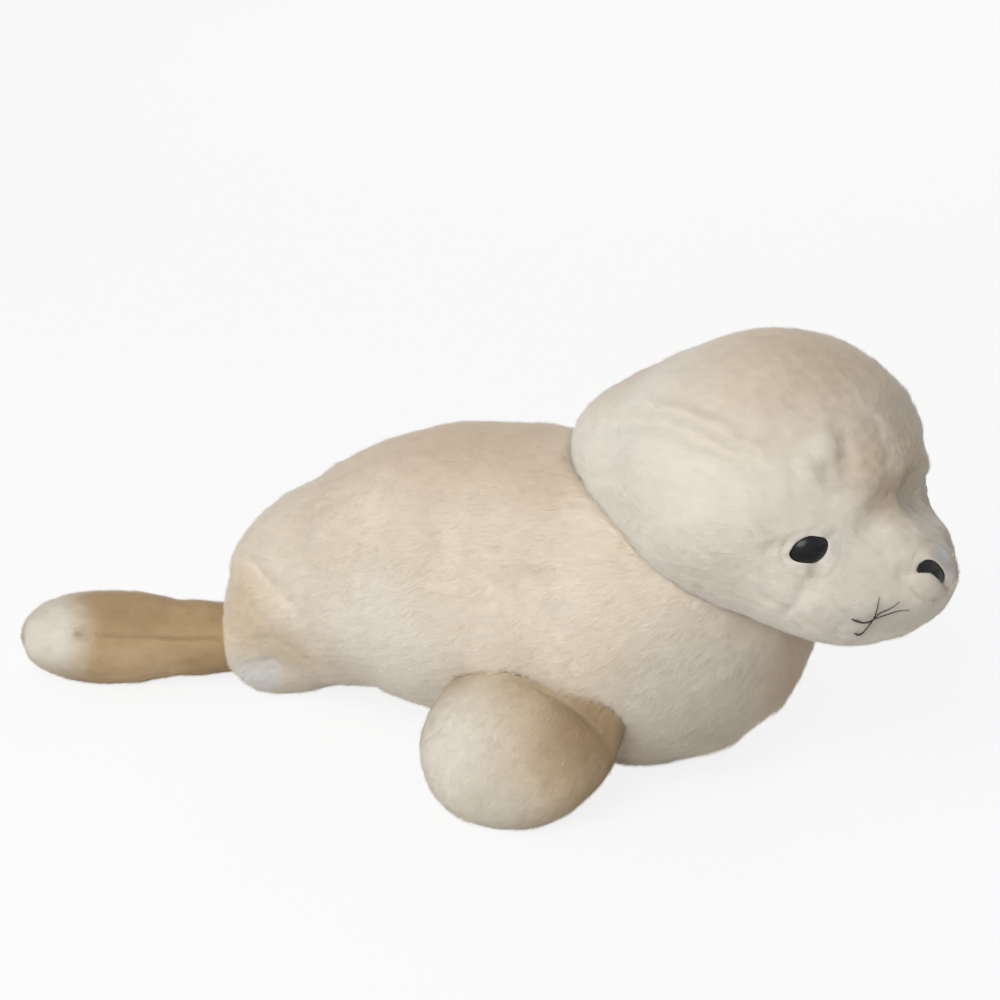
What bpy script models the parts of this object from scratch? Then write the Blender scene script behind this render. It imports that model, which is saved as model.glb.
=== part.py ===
"""A stuffed toy seal that lies on its belly, looking forward and a little to its right.

The seal is sewn from short-pile fur cloth and filled with fibre. Each stuffed pouch (body, head, two
front flippers and the tail flipper) is one solid with the round shape that the filling gives it. The
eyes and the nose are domed plastic buttons: a shank goes through the cloth, and a washer inside the
head holds it. The whiskers are short black threads that are stitched into the muzzle.

Metres, +Z up, +X towards the nose. In the finished model the floor is Z = 0, and the middle of the
toy's length and width lies on the origin.
"""

import math
from dataclasses import dataclass

import bmesh
import bpy
import numpy as np
from mathutils import Euler, Matrix, Vector
from mathutils.bvhtree import BVHTree

# Clearances
GAP = 0.0003                  # between two pieces that touch
NECK_SOFTNESS = 9.0           # how closely a pouch follows its lobes; a high value leaves deeper necks
SETTLE = 0.0030               # how far the filling gives way where the toy rests on the floor

# Body: round lobes from the rump to the chest, each at (X, Y, Z) with half sizes along X, Y and Z
CHEST_AT = (0.0810, 0.0, 0.0830)
CHEST_HALF = (0.0870, 0.0845, 0.0810)
BELLY_AT = (0.0075, 0.0, 0.0845)
BELLY_HALF = (0.1220, 0.0810, 0.0775)
LOIN_AT = (-0.0890, 0.0, 0.0630)
LOIN_HALF = (0.0630, 0.0570, 0.0515)
RUMP_AT = (-0.1290, 0.0, 0.0390)
RUMP_HALF = (0.0240, 0.0460, 0.0420)
RUMP_FOLD_AT = (-0.1220, 0.0, 0.0210)
RUMP_FOLD_HALF = (0.0340, 0.0380, 0.0220)

# Head: lobes at (reach from the neck, sideways, height), half sizes along, across and up
NECK_AT = (0.1000, 0.0)       # the point that the head turns about, in X and Y
HEAD_TURN = -12.0             # degrees; negative looks to the seal's right
NAPE_AT = (0.0215, 0.0, 0.1570)
NAPE_HALF = (0.0805, 0.0575, 0.0545)
BROW_AT = (0.0515, 0.0, 0.1675)
BROW_HALF = (0.0705, 0.0790, 0.0665)
MUZZLE_AT = (0.0945, 0.0, 0.1290)
MUZZLE_HALF = (0.0520, 0.0520, 0.0370)

# Front flippers: the pad lies beside the chest and slopes down to the floor
PAD_AT = (0.0470, 0.0865, 0.0325)
PAD_HALF = (0.0456, 0.0420, 0.0270)
SHOULDER_AT = (0.0587, 0.0788, 0.0432)
SHOULDER_HALF = (0.0443, 0.0534, 0.0240)
FLIPPER_SLOPE = 40.0          # degrees down from the level, outwards

# Tail flipper: reach is measured from its root, which sits in the rump
TAIL_ROOT_INSET = 0.0130      # from the rump's rear end forward to the root
TAIL_ROOT_SIDE = -0.0080
TAIL_TURN = 23.0              # degrees; the tip swings to the seal's right
WRIST_AT = (-0.0350, 0.0, 0.0240)
WRIST_HALF = (0.0486, 0.0248, 0.0198)
PADDLE_AT = (-0.0813, 0.0, 0.0240)
PADDLE_HALF = (0.0515, 0.0330, 0.0250)

# Eyes: seen from a point in the middle of the head, and drawn into the filling by their shanks
EYE_HALF = (0.0098, 0.0078)   # half the long and the short way across
EYE_DOME = 0.0062
EYE_SINK = 0.0034
EYE_BEARING = 44.6            # degrees to each side of the nose
EYE_RISE = 3.3                # degrees above the level through the head's middle
EYE_ROLL = 14.0               # degrees; the outer end lies lower
HEAD_MIDDLE = 0.1500          # height of the point that the eyes are set from

# Nose
NOSE_HALF = (0.0135, 0.0100)
NOSE_DOME = 0.0065
NOSE_SINK = 0.0030
NOSE_RISE = 11.5              # degrees above the level through the muzzle's middle

# The shanks behind the buttons, and the washers that grip them inside the head
RIM = 0.0010                  # straight edge under a dome
SHANK_RADIUS = 0.0020
SHANK_LENGTH = 0.0140
WASHER_RADIUS = 0.0075
WASHER_THICK = 0.0016
WASHER_DEPTH = 0.0085         # from the button's back to the washer

# Whiskers: root and free end as bearing and rise in degrees from the muzzle's middle, then the layer
THREAD_RADIUS = 0.00035
THREAD_POINTS = 9
THREAD_LAYER = 0.0011         # a thread in layer 1 passes this far over one in layer 0
THREAD_CLIMB = 0.33           # share of a thread's length in which it climbs to its layer
WHISKERS = (
    ((52.0, -19.5), (43.0, 3.6), 0),
    ((54.0, -5.5), (32.0, -0.5), 1),
    ((54.5, -9.5), (26.4, -5.5), 1),
)
WHISKER_BOW = 2.5             # degrees that a thread bows up from the straight line

# How finely the pouches are cut into facets
BODY_FACETS = (40, 34)
HEAD_FACETS = (40, 32)
FLIPPER_FACETS = (26, 20)
ROUND_FACETS = 28
DOME_RINGS = 6
SHARP_ANGLE = 50.0            # degrees; two facets that meet more sharply keep a hard edge

SOLVE_STEPS = 40
SOLVE_REACH = 4.0
TINY = 1e-9                    # keeps a lobe's own centre from dividing by zero


@dataclass(frozen=True)
class Lobe:
    """One round swelling of a pouch: a centre, half sizes, and a turn in degrees about X, Y and Z."""

    centre: tuple
    half: tuple
    turn: tuple = (0.0, 0.0, 0.0)

    def matrix(self):
        """Rotation of the lobe as a 3 by 3 array."""
        return np.array(Euler([math.radians(a) for a in self.turn]).to_matrix())

    def grown(self, amount):
        """The same lobe, larger all round."""
        return Lobe(self.centre, tuple(h + amount for h in self.half), self.turn)


def fullness(points, lobes):
    """Blend of the lobes at each point: above 1 inside the pouch, below 1 outside it."""
    total = np.zeros(points.shape[:-1])
    for lobe in lobes:
        local = (points - np.array(lobe.centre)) @ lobe.matrix() / np.array(lobe.half)
        distance = np.sqrt((local * local).sum(-1)) + TINY
        total += distance ** -NECK_SOFTNESS
    return total


def pouch_surface(lobes, heart, spread, turn, facets, floor):
    """Points where rays from the heart leave the blend of lobes, as rings from pole to pole."""
    around, along = facets
    polar = np.linspace(0.0, math.pi, along)
    angle = np.linspace(0.0, 2.0 * math.pi, around, endpoint=False)
    polar, angle = np.meshgrid(polar, angle, indexing="ij")
    ray = np.stack([-np.cos(polar), np.sin(polar) * np.cos(angle), np.sin(polar) * np.sin(angle)], -1)
    ray = ray * np.array(spread) @ Lobe(heart, spread, turn).matrix().T
    heart = np.array(heart)
    low = np.zeros(polar.shape)
    high = np.full(polar.shape, SOLVE_REACH)
    for _ in range(SOLVE_STEPS):
        middle = (low + high) / 2.0
        inside = fullness(heart + middle[..., None] * ray, lobes) > 1.0
        low = np.where(inside, middle, low)
        high = np.where(inside, high, middle)
    points = heart + low[..., None] * ray
    if floor is not None:
        points[..., 2] = np.maximum(points[..., 2], floor)
    return points


def link(name, mesh, material=None):
    """Put a mesh into the scene as an object."""
    obj = bpy.data.objects.new(name, mesh)
    bpy.context.collection.objects.link(obj)
    if material is not None:
        mesh.materials.append(material)
    return obj


def finish(name, bm, material=None):
    """Turn an edited mesh into an object with its faces out and shaded smooth."""
    bmesh.ops.recalc_face_normals(bm, faces=bm.faces)
    mesh = bpy.data.meshes.new(name)
    bm.to_mesh(mesh)
    bm.free()
    mesh.shade_smooth()
    mesh.set_sharp_from_angle(angle=math.radians(SHARP_ANGLE))
    return link(name, mesh, material)


def pouch(name, lobes, heart, spread, facets, material=None, turn=(0.0, 0.0, 0.0), floor=None):
    """A closed stuffed form over some lobes, flat where it rests on the floor."""
    rings = pouch_surface(lobes, heart, spread, turn, facets, floor)
    bm = bmesh.new()
    rear = bm.verts.new(rings[0, 0])
    front = bm.verts.new(rings[-1, 0])
    loops = [[bm.verts.new(point) for point in ring] for ring in rings[1:-1]]
    count = facets[0]
    for first, second in zip(loops, loops[1:]):
        for i in range(count):
            j = (i + 1) % count
            bm.faces.new((first[i], first[j], second[j], second[i]))
    for i in range(count):
        j = (i + 1) % count
        bm.faces.new((rear, loops[0][j], loops[0][i]))
        bm.faces.new((front, loops[-1][i], loops[-1][j]))
    return finish(name, bm, material)


def turned(name, profile, material=None):
    """A turned solid: each profile row is (half way across, half way up, height along +Z)."""
    bm = bmesh.new()
    angles = [2.0 * math.pi * i / ROUND_FACETS for i in range(ROUND_FACETS)]
    loops = []
    for across, up, height in profile:
        if across == 0.0:
            loops.append([bm.verts.new((0.0, 0.0, height))])
        else:
            loops.append([bm.verts.new((across * math.cos(a), up * math.sin(a), height)) for a in angles])
    for first, second in zip(loops, loops[1:]):
        for i in range(ROUND_FACETS):
            j = (i + 1) % ROUND_FACETS
            corners = [first[i % len(first)], first[j % len(first)], second[j % len(second)], second[i % len(second)]]
            bm.faces.new(list(dict.fromkeys(corners)))
    return finish(name, bm, material)


def ring(name, inner, outer, low, high, material):
    """A flat washer about Z."""
    bm = bmesh.new()
    section = [(inner, low), (outer, low), (outer, high), (inner, high)]
    loops = []
    for i in range(ROUND_FACETS):
        a = 2.0 * math.pi * i / ROUND_FACETS
        loops.append([bm.verts.new((r * math.cos(a), r * math.sin(a), z)) for r, z in section])
    for i in range(ROUND_FACETS):
        first = loops[i]
        second = loops[(i + 1) % ROUND_FACETS]
        for k in range(len(section)):
            m = (k + 1) % len(section)
            bm.faces.new((first[k], first[m], second[m], second[k]))
    return finish(name, bm, material)


def cut(target, cutter, label):
    """Take one object out of another and hide the tool."""
    cutter.hide_render = True
    cutter.display_type = "WIRE"
    boolean = target.modifiers.new(label, "BOOLEAN")
    boolean.operation = "DIFFERENCE"
    boolean.solver = "EXACT"
    boolean.object = cutter


def material(name, colour, roughness, metallic=0.0):
    """A plain Principled material."""
    made = bpy.data.materials.new(name)
    made.use_nodes = True
    shader = made.node_tree.nodes["Principled BSDF"]
    shader.inputs["Base Color"].default_value = (*colour, 1.0)
    shader.inputs["Roughness"].default_value = roughness
    shader.inputs["Metallic"].default_value = metallic
    return made


def direction(bearing, rise):
    """Unit vector for a bearing about +Z from +X and a rise above the level, in degrees."""
    b = math.radians(bearing)
    r = math.radians(rise)
    return Vector((math.cos(r) * math.cos(b), math.cos(r) * math.sin(b), math.sin(r)))


def head_point(local):
    """World position of (reach, sideways, height) in the turned head's own frame."""
    turn = math.radians(HEAD_TURN)
    reach, side, height = local
    x = NECK_AT[0] + reach * math.cos(turn) - side * math.sin(turn)
    y = NECK_AT[1] + reach * math.sin(turn) + side * math.cos(turn)
    return (x, y, height)


def surface_seat(tree, start, heading):
    """Where a ray from inside a pouch leaves it, and the outward normal there."""
    point, normal, _, _ = tree.ray_cast(Vector(start), heading)
    if normal.dot(heading) < 0.0:
        normal = -normal
    return point, normal


def button_matrix(point, normal, roll, sink):
    """Frame with +Z out of the cloth, +X level and rolled, its origin sunk under the surface."""
    out = normal.normalized()
    level = Vector((0.0, 0.0, 1.0)).cross(out).normalized()
    up = out.cross(level)
    base = Matrix((level, up, out)).transposed().to_4x4()
    place = Matrix.Translation(point - out * sink)
    return place @ base @ Matrix.Rotation(math.radians(roll), 4, "Z")


def button_profile(half, dome):
    """Dome, straight rim, flat back and shank; the dome is a quarter ellipse in section."""
    rows = [(0.0, 0.0, dome)]
    for i in range(1, DOME_RINGS + 1):
        a = 0.5 * math.pi * i / DOME_RINGS
        rows.append((half[0] * math.sin(a), half[1] * math.sin(a), dome * math.cos(a)))
    shank_end = -RIM - SHANK_LENGTH
    rows.append((half[0], half[1], -RIM))
    rows.append((SHANK_RADIUS, SHANK_RADIUS, -RIM))
    rows.append((SHANK_RADIUS, SHANK_RADIUS, shank_end))
    rows.append((0.0, 0.0, shank_end))
    return rows


def socket_profile(half, dome):
    """Room for a button, its shank and its washer, one gap larger all round and open outwards."""
    wide = (half[0] + GAP, half[1] + GAP)
    hole = SHANK_RADIUS + GAP
    room = WASHER_RADIUS + GAP
    back = -RIM - GAP
    washer_top = -RIM - WASHER_DEPTH + GAP
    washer_low = -RIM - WASHER_DEPTH - WASHER_THICK - GAP
    mouth = 2.0 * dome
    return [
        (0.0, 0.0, mouth),
        (wide[0], wide[1], mouth),
        (wide[0], wide[1], back),
        (hole, hole, back),
        (hole, hole, washer_top),
        (room, room, washer_top),
        (room, room, washer_low),
        (hole, hole, washer_low),
        (hole, hole, -RIM - SHANK_LENGTH - GAP),
        (0.0, 0.0, -RIM - SHANK_LENGTH - GAP),
    ]


def add_button(name, washer_name, half, dome, place, head, plastics):
    """A button with its washer, and the room for both in the head."""
    button = turned(name, button_profile(half, dome), plastics[0])
    washer_high = -RIM - WASHER_DEPTH
    washer = ring(washer_name, SHANK_RADIUS + GAP, WASHER_RADIUS, washer_high - WASHER_THICK, washer_high, plastics[1])
    room = turned(name + "_room", socket_profile(half, dome))
    for obj in (button, washer, room):
        obj.matrix_world = place
    cut(head, room, name + "_seat")


def body_lobes():
    """The body's lobes, rear to front."""
    return [
        Lobe(RUMP_FOLD_AT, RUMP_FOLD_HALF),
        Lobe(RUMP_AT, RUMP_HALF),
        Lobe(LOIN_AT, LOIN_HALF),
        Lobe(BELLY_AT, BELLY_HALF),
        Lobe(CHEST_AT, CHEST_HALF),
    ]


def head_lobes():
    """The head's lobes, from the nape to the muzzle."""
    turn = (0.0, 0.0, HEAD_TURN)
    rows = ((NAPE_AT, NAPE_HALF), (BROW_AT, BROW_HALF), (MUZZLE_AT, MUZZLE_HALF))
    return [Lobe(head_point(at), half, turn) for at, half in rows]


def body_form(name, lobes, cloth=None, floor=None):
    """The body's outer form, or an enlarged copy of it."""
    rear = RUMP_AT[0] - RUMP_HALF[0]
    front = CHEST_AT[0] + CHEST_HALF[0]
    heart = ((rear + front) / 2.0, 0.0, LOIN_AT[2])
    spread = ((front - rear) / 2.0, CHEST_HALF[1], CHEST_HALF[2])
    return pouch(name, lobes, heart, spread, BODY_FACETS, cloth, floor=floor)


def head_form(name, lobes, cloth=None):
    """The head's outer form, or an enlarged copy of it."""
    heart = head_point((BROW_AT[0], 0.0, HEAD_MIDDLE))
    return pouch(name, lobes, heart, BROW_HALF, HEAD_FACETS, cloth, turn=(0.0, 0.0, HEAD_TURN))


def add_body_and_head(cloth_body, cloth_head):
    """The two large pouches; the head nests into the body at the neck seam."""
    body = body_form("body", body_lobes(), cloth_body, SETTLE)
    head = head_form("head", head_lobes(), cloth_head)
    cut(body, head_form("neck_room", [lobe.grown(GAP) for lobe in head_lobes()]), "neck_seam")
    return body, head


def add_front_flipper(name, side, cloth):
    """One stuffed front flipper, sewn against the body's side; side is -1 on the seal's right."""
    slope = (-side * FLIPPER_SLOPE, 0.0, 0.0)
    rows = ((PAD_AT, PAD_HALF), (SHOULDER_AT, SHOULDER_HALF))
    lobes = [Lobe((at[0], side * at[1], at[2]), half, slope) for at, half in rows]
    flipper = pouch(name, lobes, lobes[0].centre, PAD_HALF, FLIPPER_FACETS, cloth, slope, SETTLE)
    cut(flipper, body_form(name + "_seam_room", [lobe.grown(GAP) for lobe in body_lobes()]), "side_seam")


def add_tail_flipper(cloth):
    """The tail flipper, sewn against the rump."""
    turn = (0.0, 0.0, TAIL_TURN)
    root = Vector((RUMP_AT[0] - RUMP_HALF[0] + TAIL_ROOT_INSET, TAIL_ROOT_SIDE, 0.0))
    swing = Euler((0.0, 0.0, math.radians(TAIL_TURN))).to_matrix()
    rows = ((WRIST_AT, WRIST_HALF), (PADDLE_AT, PADDLE_HALF))
    lobes = [Lobe(tuple(root + swing @ Vector(at)), half, turn) for at, half in rows]
    heart = tuple((Vector(lobes[0].centre) + Vector(lobes[1].centre)) / 2.0)
    tail = pouch("tail_flipper", lobes, heart, PADDLE_HALF, FLIPPER_FACETS, cloth, turn, SETTLE)
    cut(tail, body_form("tail_seam_room", [lobe.grown(GAP) for lobe in body_lobes()]), "rump_seam")


def add_face(head, tree, plastics):
    """Eyes and nose, each set square to the cloth where a ray from inside the head leaves it."""
    middle = head_point((BROW_AT[0], 0.0, HEAD_MIDDLE))
    for side, label in ((-1, "right"), (1, "left")):
        heading = direction(HEAD_TURN + side * EYE_BEARING, EYE_RISE)
        point, normal = surface_seat(tree, middle, heading)
        place = button_matrix(point, normal, -side * EYE_ROLL, EYE_SINK)
        add_button("eye_" + label, "eye_washer_" + label, EYE_HALF, EYE_DOME, place, head, plastics)
    point, normal = surface_seat(tree, head_point(MUZZLE_AT), direction(HEAD_TURN, NOSE_RISE))
    place = button_matrix(point, normal, 0.0, NOSE_SINK)
    add_button("nose", "nose_washer", NOSE_HALF, NOSE_DOME, place, head, plastics)


def whisker_route(tree, side, start, end, layer):
    """Points along one thread: out of the cloth, then over it to the free end."""
    middle = head_point(MUZZLE_AT)
    points = []
    for i in range(THREAD_POINTS):
        share = i / (THREAD_POINTS - 1)
        bearing = start[0] + (end[0] - start[0]) * share
        rise = start[1] + (end[1] - start[1]) * share + WHISKER_BOW * math.sin(math.pi * share)
        heading = direction(HEAD_TURN + side * bearing, rise)
        point, normal = surface_seat(tree, middle, heading)
        lift = THREAD_RADIUS + GAP + layer * THREAD_LAYER * min(1.0, share / THREAD_CLIMB)
        points.append(point + normal.normalized() * lift)
    return points


def add_whisker(name, points, thread):
    """A thread of round section along some points."""
    curve = bpy.data.curves.new(name, "CURVE")
    curve.dimensions = "3D"
    curve.bevel_depth = THREAD_RADIUS
    curve.bevel_resolution = 2
    curve.use_fill_caps = True
    spline = curve.splines.new("POLY")
    spline.points.add(len(points) - 1)
    for target, point in zip(spline.points, points):
        target.co = (*point, 1.0)
    link(name, curve, thread)


def add_whiskers(tree, thread):
    """Three threads on each cheek."""
    for side, label in ((-1, "right"), (1, "left")):
        for number, (start, end, layer) in enumerate(WHISKERS, start=1):
            route = whisker_route(tree, side, start, end, layer)
            add_whisker(f"whisker_{label}_{number}", route, thread)


def centre_on_footprint():
    """Move everything so that the middle of the toy's footprint lies on the origin."""
    graph = bpy.context.evaluated_depsgraph_get()
    corners = []
    for obj in bpy.data.objects:
        if not obj.hide_render:
            shape = obj.evaluated_get(graph).to_mesh()
            corners.extend(obj.matrix_world @ vertex.co for vertex in shape.vertices)
    middle = [(min(c[k] for c in corners) + max(c[k] for c in corners)) / 2.0 for k in range(2)]
    shift = Matrix.Translation((-middle[0], -middle[1], -SETTLE))
    for obj in bpy.data.objects:
        obj.matrix_world = shift @ obj.matrix_world


def build():
    """Make the whole toy."""
    for old in list(bpy.data.objects):
        bpy.data.objects.remove(old)
    cream = material("cream_fur", (0.66, 0.58, 0.47), 0.95)
    white = material("white_fur", (0.70, 0.66, 0.58), 0.95)
    tan = material("tan_fur", (0.52, 0.42, 0.29), 0.95)
    gloss = material("gloss_black", (0.012, 0.012, 0.014), 0.12)
    washer = material("washer_plastic", (0.75, 0.75, 0.72), 0.45)
    thread = material("black_thread", (0.02, 0.018, 0.016), 0.7)
    head = add_body_and_head(cream, white)[1]
    tree = BVHTree.FromObject(head, bpy.context.evaluated_depsgraph_get())
    add_face(head, tree, (gloss, washer))
    add_whiskers(tree, thread)
    add_front_flipper("front_flipper_right", -1, tan)
    add_front_flipper("front_flipper_left", 1, tan)
    add_tail_flipper(tan)
    bpy.context.view_layer.update()
    centre_on_footprint()


build()
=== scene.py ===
"""The finished look of a stuffed toy seal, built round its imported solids.

Every stuffed pouch is a smooth skin of cloth with the folds, dents and seams of the sewn toy, and a pile
of fine strands grows on it. Metres, +X towards the nose, +Y to the seal's left, +Z up, as in the frame.
"""

import logging
import math
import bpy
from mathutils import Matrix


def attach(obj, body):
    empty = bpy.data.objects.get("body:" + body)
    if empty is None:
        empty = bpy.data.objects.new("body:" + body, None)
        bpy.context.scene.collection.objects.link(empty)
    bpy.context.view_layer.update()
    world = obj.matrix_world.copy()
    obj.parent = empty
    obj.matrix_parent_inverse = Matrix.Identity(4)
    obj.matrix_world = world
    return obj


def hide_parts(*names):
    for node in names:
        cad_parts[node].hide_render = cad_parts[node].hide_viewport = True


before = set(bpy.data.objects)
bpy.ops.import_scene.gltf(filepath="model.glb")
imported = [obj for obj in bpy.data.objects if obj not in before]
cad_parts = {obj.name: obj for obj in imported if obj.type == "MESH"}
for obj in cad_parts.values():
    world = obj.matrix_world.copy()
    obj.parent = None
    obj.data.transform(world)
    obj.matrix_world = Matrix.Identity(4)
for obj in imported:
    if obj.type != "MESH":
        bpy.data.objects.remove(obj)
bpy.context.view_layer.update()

from copy import copy
from dataclasses import dataclass, field, replace
from enum import Enum

import bpy
import numpy as np
from mathutils import Euler, Matrix, Vector
from mathutils.bvhtree import BVHTree

Point = tuple[float, float, float]
Pixel = tuple[float, float]
Colour = tuple[float, float, float]

BODY = "root"
LOG = logging.getLogger("plush_seal")

NECK_SOFTNESS = 9.0           # how closely a pouch follows its lobes
NEIGHBOUR_DEPTH = 0.0016      # of a neighbour's cloth under the tips of its pile
BITE = 0.0005                 # how far the cloth of a pouch is sewn into its neighbour's
SOLVE_STEPS = 26
FARTHEST_RAY = 4.0            # in spreads of a form
TINY = 1e-9
FLOOR_CLEARANCE = 0.0001
STRANDS_A_PIECE = 190000      # a pouch with more has one piece of pile for each side
NOISE_GRAIN = 0.55
WAVE_PACES = (0.7, 1.4)       # of ripples, as shares of the usual one
BAKE_MAP = "OFBake"
BAKE_DISC = 0.46              # half height of a disc of that map, with its two discs side by side
FULL_WHITE = (1.0, 1.0, 1.0)


def tone(red: int, green: int, blue: int) -> Colour:
    """Turn a display colour into the linear one that a shader takes.

    Args:
        red: Red level from 0 to 255.
        green: Green level from 0 to 255.
        blue: Blue level from 0 to 255.

    Returns:
        The linear colour.
    """
    shares = np.array([red, green, blue]) / 255.0
    linear = np.where(shares <= 0.04045, shares / 12.92, ((shares + 0.055) / 1.055) ** 2.4)
    return tuple(float(share) for share in linear)


def unit(vectors: np.ndarray) -> np.ndarray:
    """Scale vectors to length one.

    Args:
        vectors: Vectors in the last axis.

    Returns:
        Unit vectors of the same shape.
    """
    return vectors / np.maximum(np.linalg.norm(vectors, axis=-1, keepdims=True), TINY)


def along_skin(vectors: np.ndarray, normals: np.ndarray) -> np.ndarray:
    """Lay vectors down on a skin.

    Args:
        vectors: A direction for each point, or one for all.
        normals: The skin's outward direction at each point.

    Returns:
        Unit directions that run along the skin.
    """
    return unit(vectors - normals * (vectors * normals).sum(-1, keepdims=True))


def smooth(low: float, high: float, values: np.ndarray) -> np.ndarray:
    """Ease from 0 at one value to 1 at another, which may be the lower of the two.

    Args:
        low: The value that gives 0.
        high: The value that gives 1.
        values: The values to ease.

    Returns:
        Shares from 0 to 1.
    """
    share = np.clip((values - low) / (high - low), 0.0, 1.0)
    return share * share * (3.0 - 2.0 * share)


def bent(corners: tuple[np.ndarray, ...], share: np.ndarray) -> np.ndarray:
    """Points of a soft line between the second and the third of four of its corners.

    Args:
        corners: Four corners in a row, or four rows of them.
        share: How far each point lies from the second corner to the third.

    Returns:
        The points.
    """
    a, b, c, d = corners
    bend = (2 * a - 5 * b + 4 * c - d) * share**2 + (3 * b - a - 3 * c + d) * share**3
    return 0.5 * (2 * b + (c - a) * share + bend)


def with_ends(knots: np.ndarray) -> np.ndarray:
    """Lengthen a line by one corner, straight on, at each end."""
    return np.vstack([2 * knots[0] - knots[1], knots, 2 * knots[-1] - knots[-2]])


def sides_of(around: int, low: int, high: int) -> np.ndarray:
    """Four-sided faces between two rings of corners.

    Args:
        around: How many corners each ring has.
        low: Number of the first corner of one ring.
        high: Number of the first corner of the other ring.

    Returns:
        Four corner numbers for each face.
    """
    step = np.arange(around)
    after = (step + 1) % around
    return np.stack([low + step, high + step, high + after, low + after], -1)


class Value:
    """What a shader node gives, ready for arithmetic."""

    def __init__(self, graph: "NodeGraph", socket: bpy.types.NodeSocket) -> None:
        """Keep the socket and the graph that its arithmetic goes into."""
        self.graph = graph
        self.socket = socket

    def _math(self, operation: str, first: "Value | float", second: "Value | float") -> "Value":
        """Add a Math node on two operands."""
        return self.graph.node("ShaderNodeMath", {"operation": operation}, {0: first, 1: second})

    def __add__(self, other: "Value | float") -> "Value":
        """Add."""
        return self._math("ADD", self, other)

    def __radd__(self, other: float) -> "Value":
        """Add to a number."""
        return self._math("ADD", other, self)

    def __sub__(self, other: "Value | float") -> "Value":
        """Take away."""
        return self._math("SUBTRACT", self, other)

    def __rsub__(self, other: float) -> "Value":
        """Take away from a number."""
        return self._math("SUBTRACT", other, self)

    def __mul__(self, other: "Value | float") -> "Value":
        """Multiply."""
        return self._math("MULTIPLY", self, other)

    def __rmul__(self, other: float) -> "Value":
        """Multiply a number."""
        return self._math("MULTIPLY", other, self)


class NodeGraph:
    """The nodes of a material or of the world."""

    def __init__(self, tree: bpy.types.NodeTree) -> None:
        """Keep the tree that the nodes go into."""
        self.tree = tree

    def feed(self, socket: bpy.types.NodeSocket, value: "Value | float | tuple") -> None:
        """Link or set one socket.

        Args:
            socket: The input socket.
            value: A node's value to link, or a number, vector or colour to set.
        """
        if isinstance(value, Value):
            self.tree.links.new(value.socket, socket)
        elif socket.type == "RGBA":
            socket.default_value = (*value, 1.0)
        else:
            socket.default_value = value

    def node(self, kind: str, settings: dict, inputs: dict, output: int | str = 0) -> Value:
        """Add any node: its settings first, then its inputs.

        Args:
            kind: The node's type.
            settings: The node's own properties.
            inputs: Values or links by socket name or number.
            output: Which output is wanted.

        Returns:
            The wanted output.
        """
        made = self.tree.nodes.new(kind)
        for name, value in settings.items():
            setattr(made, name, value)
        for name, value in inputs.items():
            self.feed(made.inputs[name], value)
        return Value(self, made.outputs[output])

    def mixed(self, share: Value | float, first: Value | Colour, second: Value | Colour) -> Value:
        """Mix two colours.

        Args:
            share: How much of the second one, from 0 to 1.
            first: The colour at 0.
            second: The colour at 1.

        Returns:
            The mixed colour.
        """
        settings = {"data_type": "RGBA", "clamp_factor": True}
        return self.node("ShaderNodeMix", settings, {0: share, 6: first, 7: second}, 2)

    def place(self) -> Value:
        """Position on the object, in metres."""
        return self.node("ShaderNodeTexCoord", {}, {}, "Object")

    def noise(self, place: Value, size: float, detail: float) -> Value:
        """Add cloudy noise.

        Args:
            place: The position that it is read at.
            size: The size of its clouds in metres.
            detail: How many finer layers it has.

        Returns:
            Values round 0.5.
        """
        inputs = {"Vector": place, "Scale": 1.0 / size, "Detail": detail, "Roughness": NOISE_GRAIN}
        return self.node("ShaderNodeTexNoise", {}, inputs)

    def eased(self, value: Value, low: float, high: float, top: float) -> Value:
        """Ease a value from nothing to a top value.

        Args:
            value: The value to ease.
            low: Where the result is 0.
            high: Where the result is the top value.
            top: The top value.

        Returns:
            The eased value.
        """
        inputs = {"Value": value, "From Min": low, "From Max": high, "To Min": 0.0, "To Max": top}
        return self.node("ShaderNodeMapRange", {"interpolation_type": "SMOOTHSTEP"}, inputs)


class ShaderGraph(NodeGraph):
    """The nodes of one material."""

    def __init__(self, name: str) -> None:
        """Start a material that holds one Principled shader."""
        self.material = bpy.data.materials.new(name)
        self.material.use_nodes = True
        super().__init__(self.material.node_tree)
        self.shader = self.tree.nodes["Principled BSDF"]

    def overlaid(self, share: Value, other: Value) -> None:
        """Show a share of another shader over the Principled one.

        Args:
            share: How much of the other shader shows, from 0 to 1.
            other: What the other shader gives.
        """
        under = Value(self, self.shader.outputs[0])
        mixed = self.node("ShaderNodeMixShader", {}, {0: share, 1: under, 2: other})
        self.feed(self.tree.nodes["Material Output"].inputs["Surface"], mixed)

    def finish(self, inputs: dict) -> bpy.types.Material:
        """Feed the shader.

        Args:
            inputs: Values or links by the shader's socket names.

        Returns:
            The finished material.
        """
        for name, value in inputs.items():
            self.feed(self.shader.inputs[name], value)
        return self.material


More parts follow.
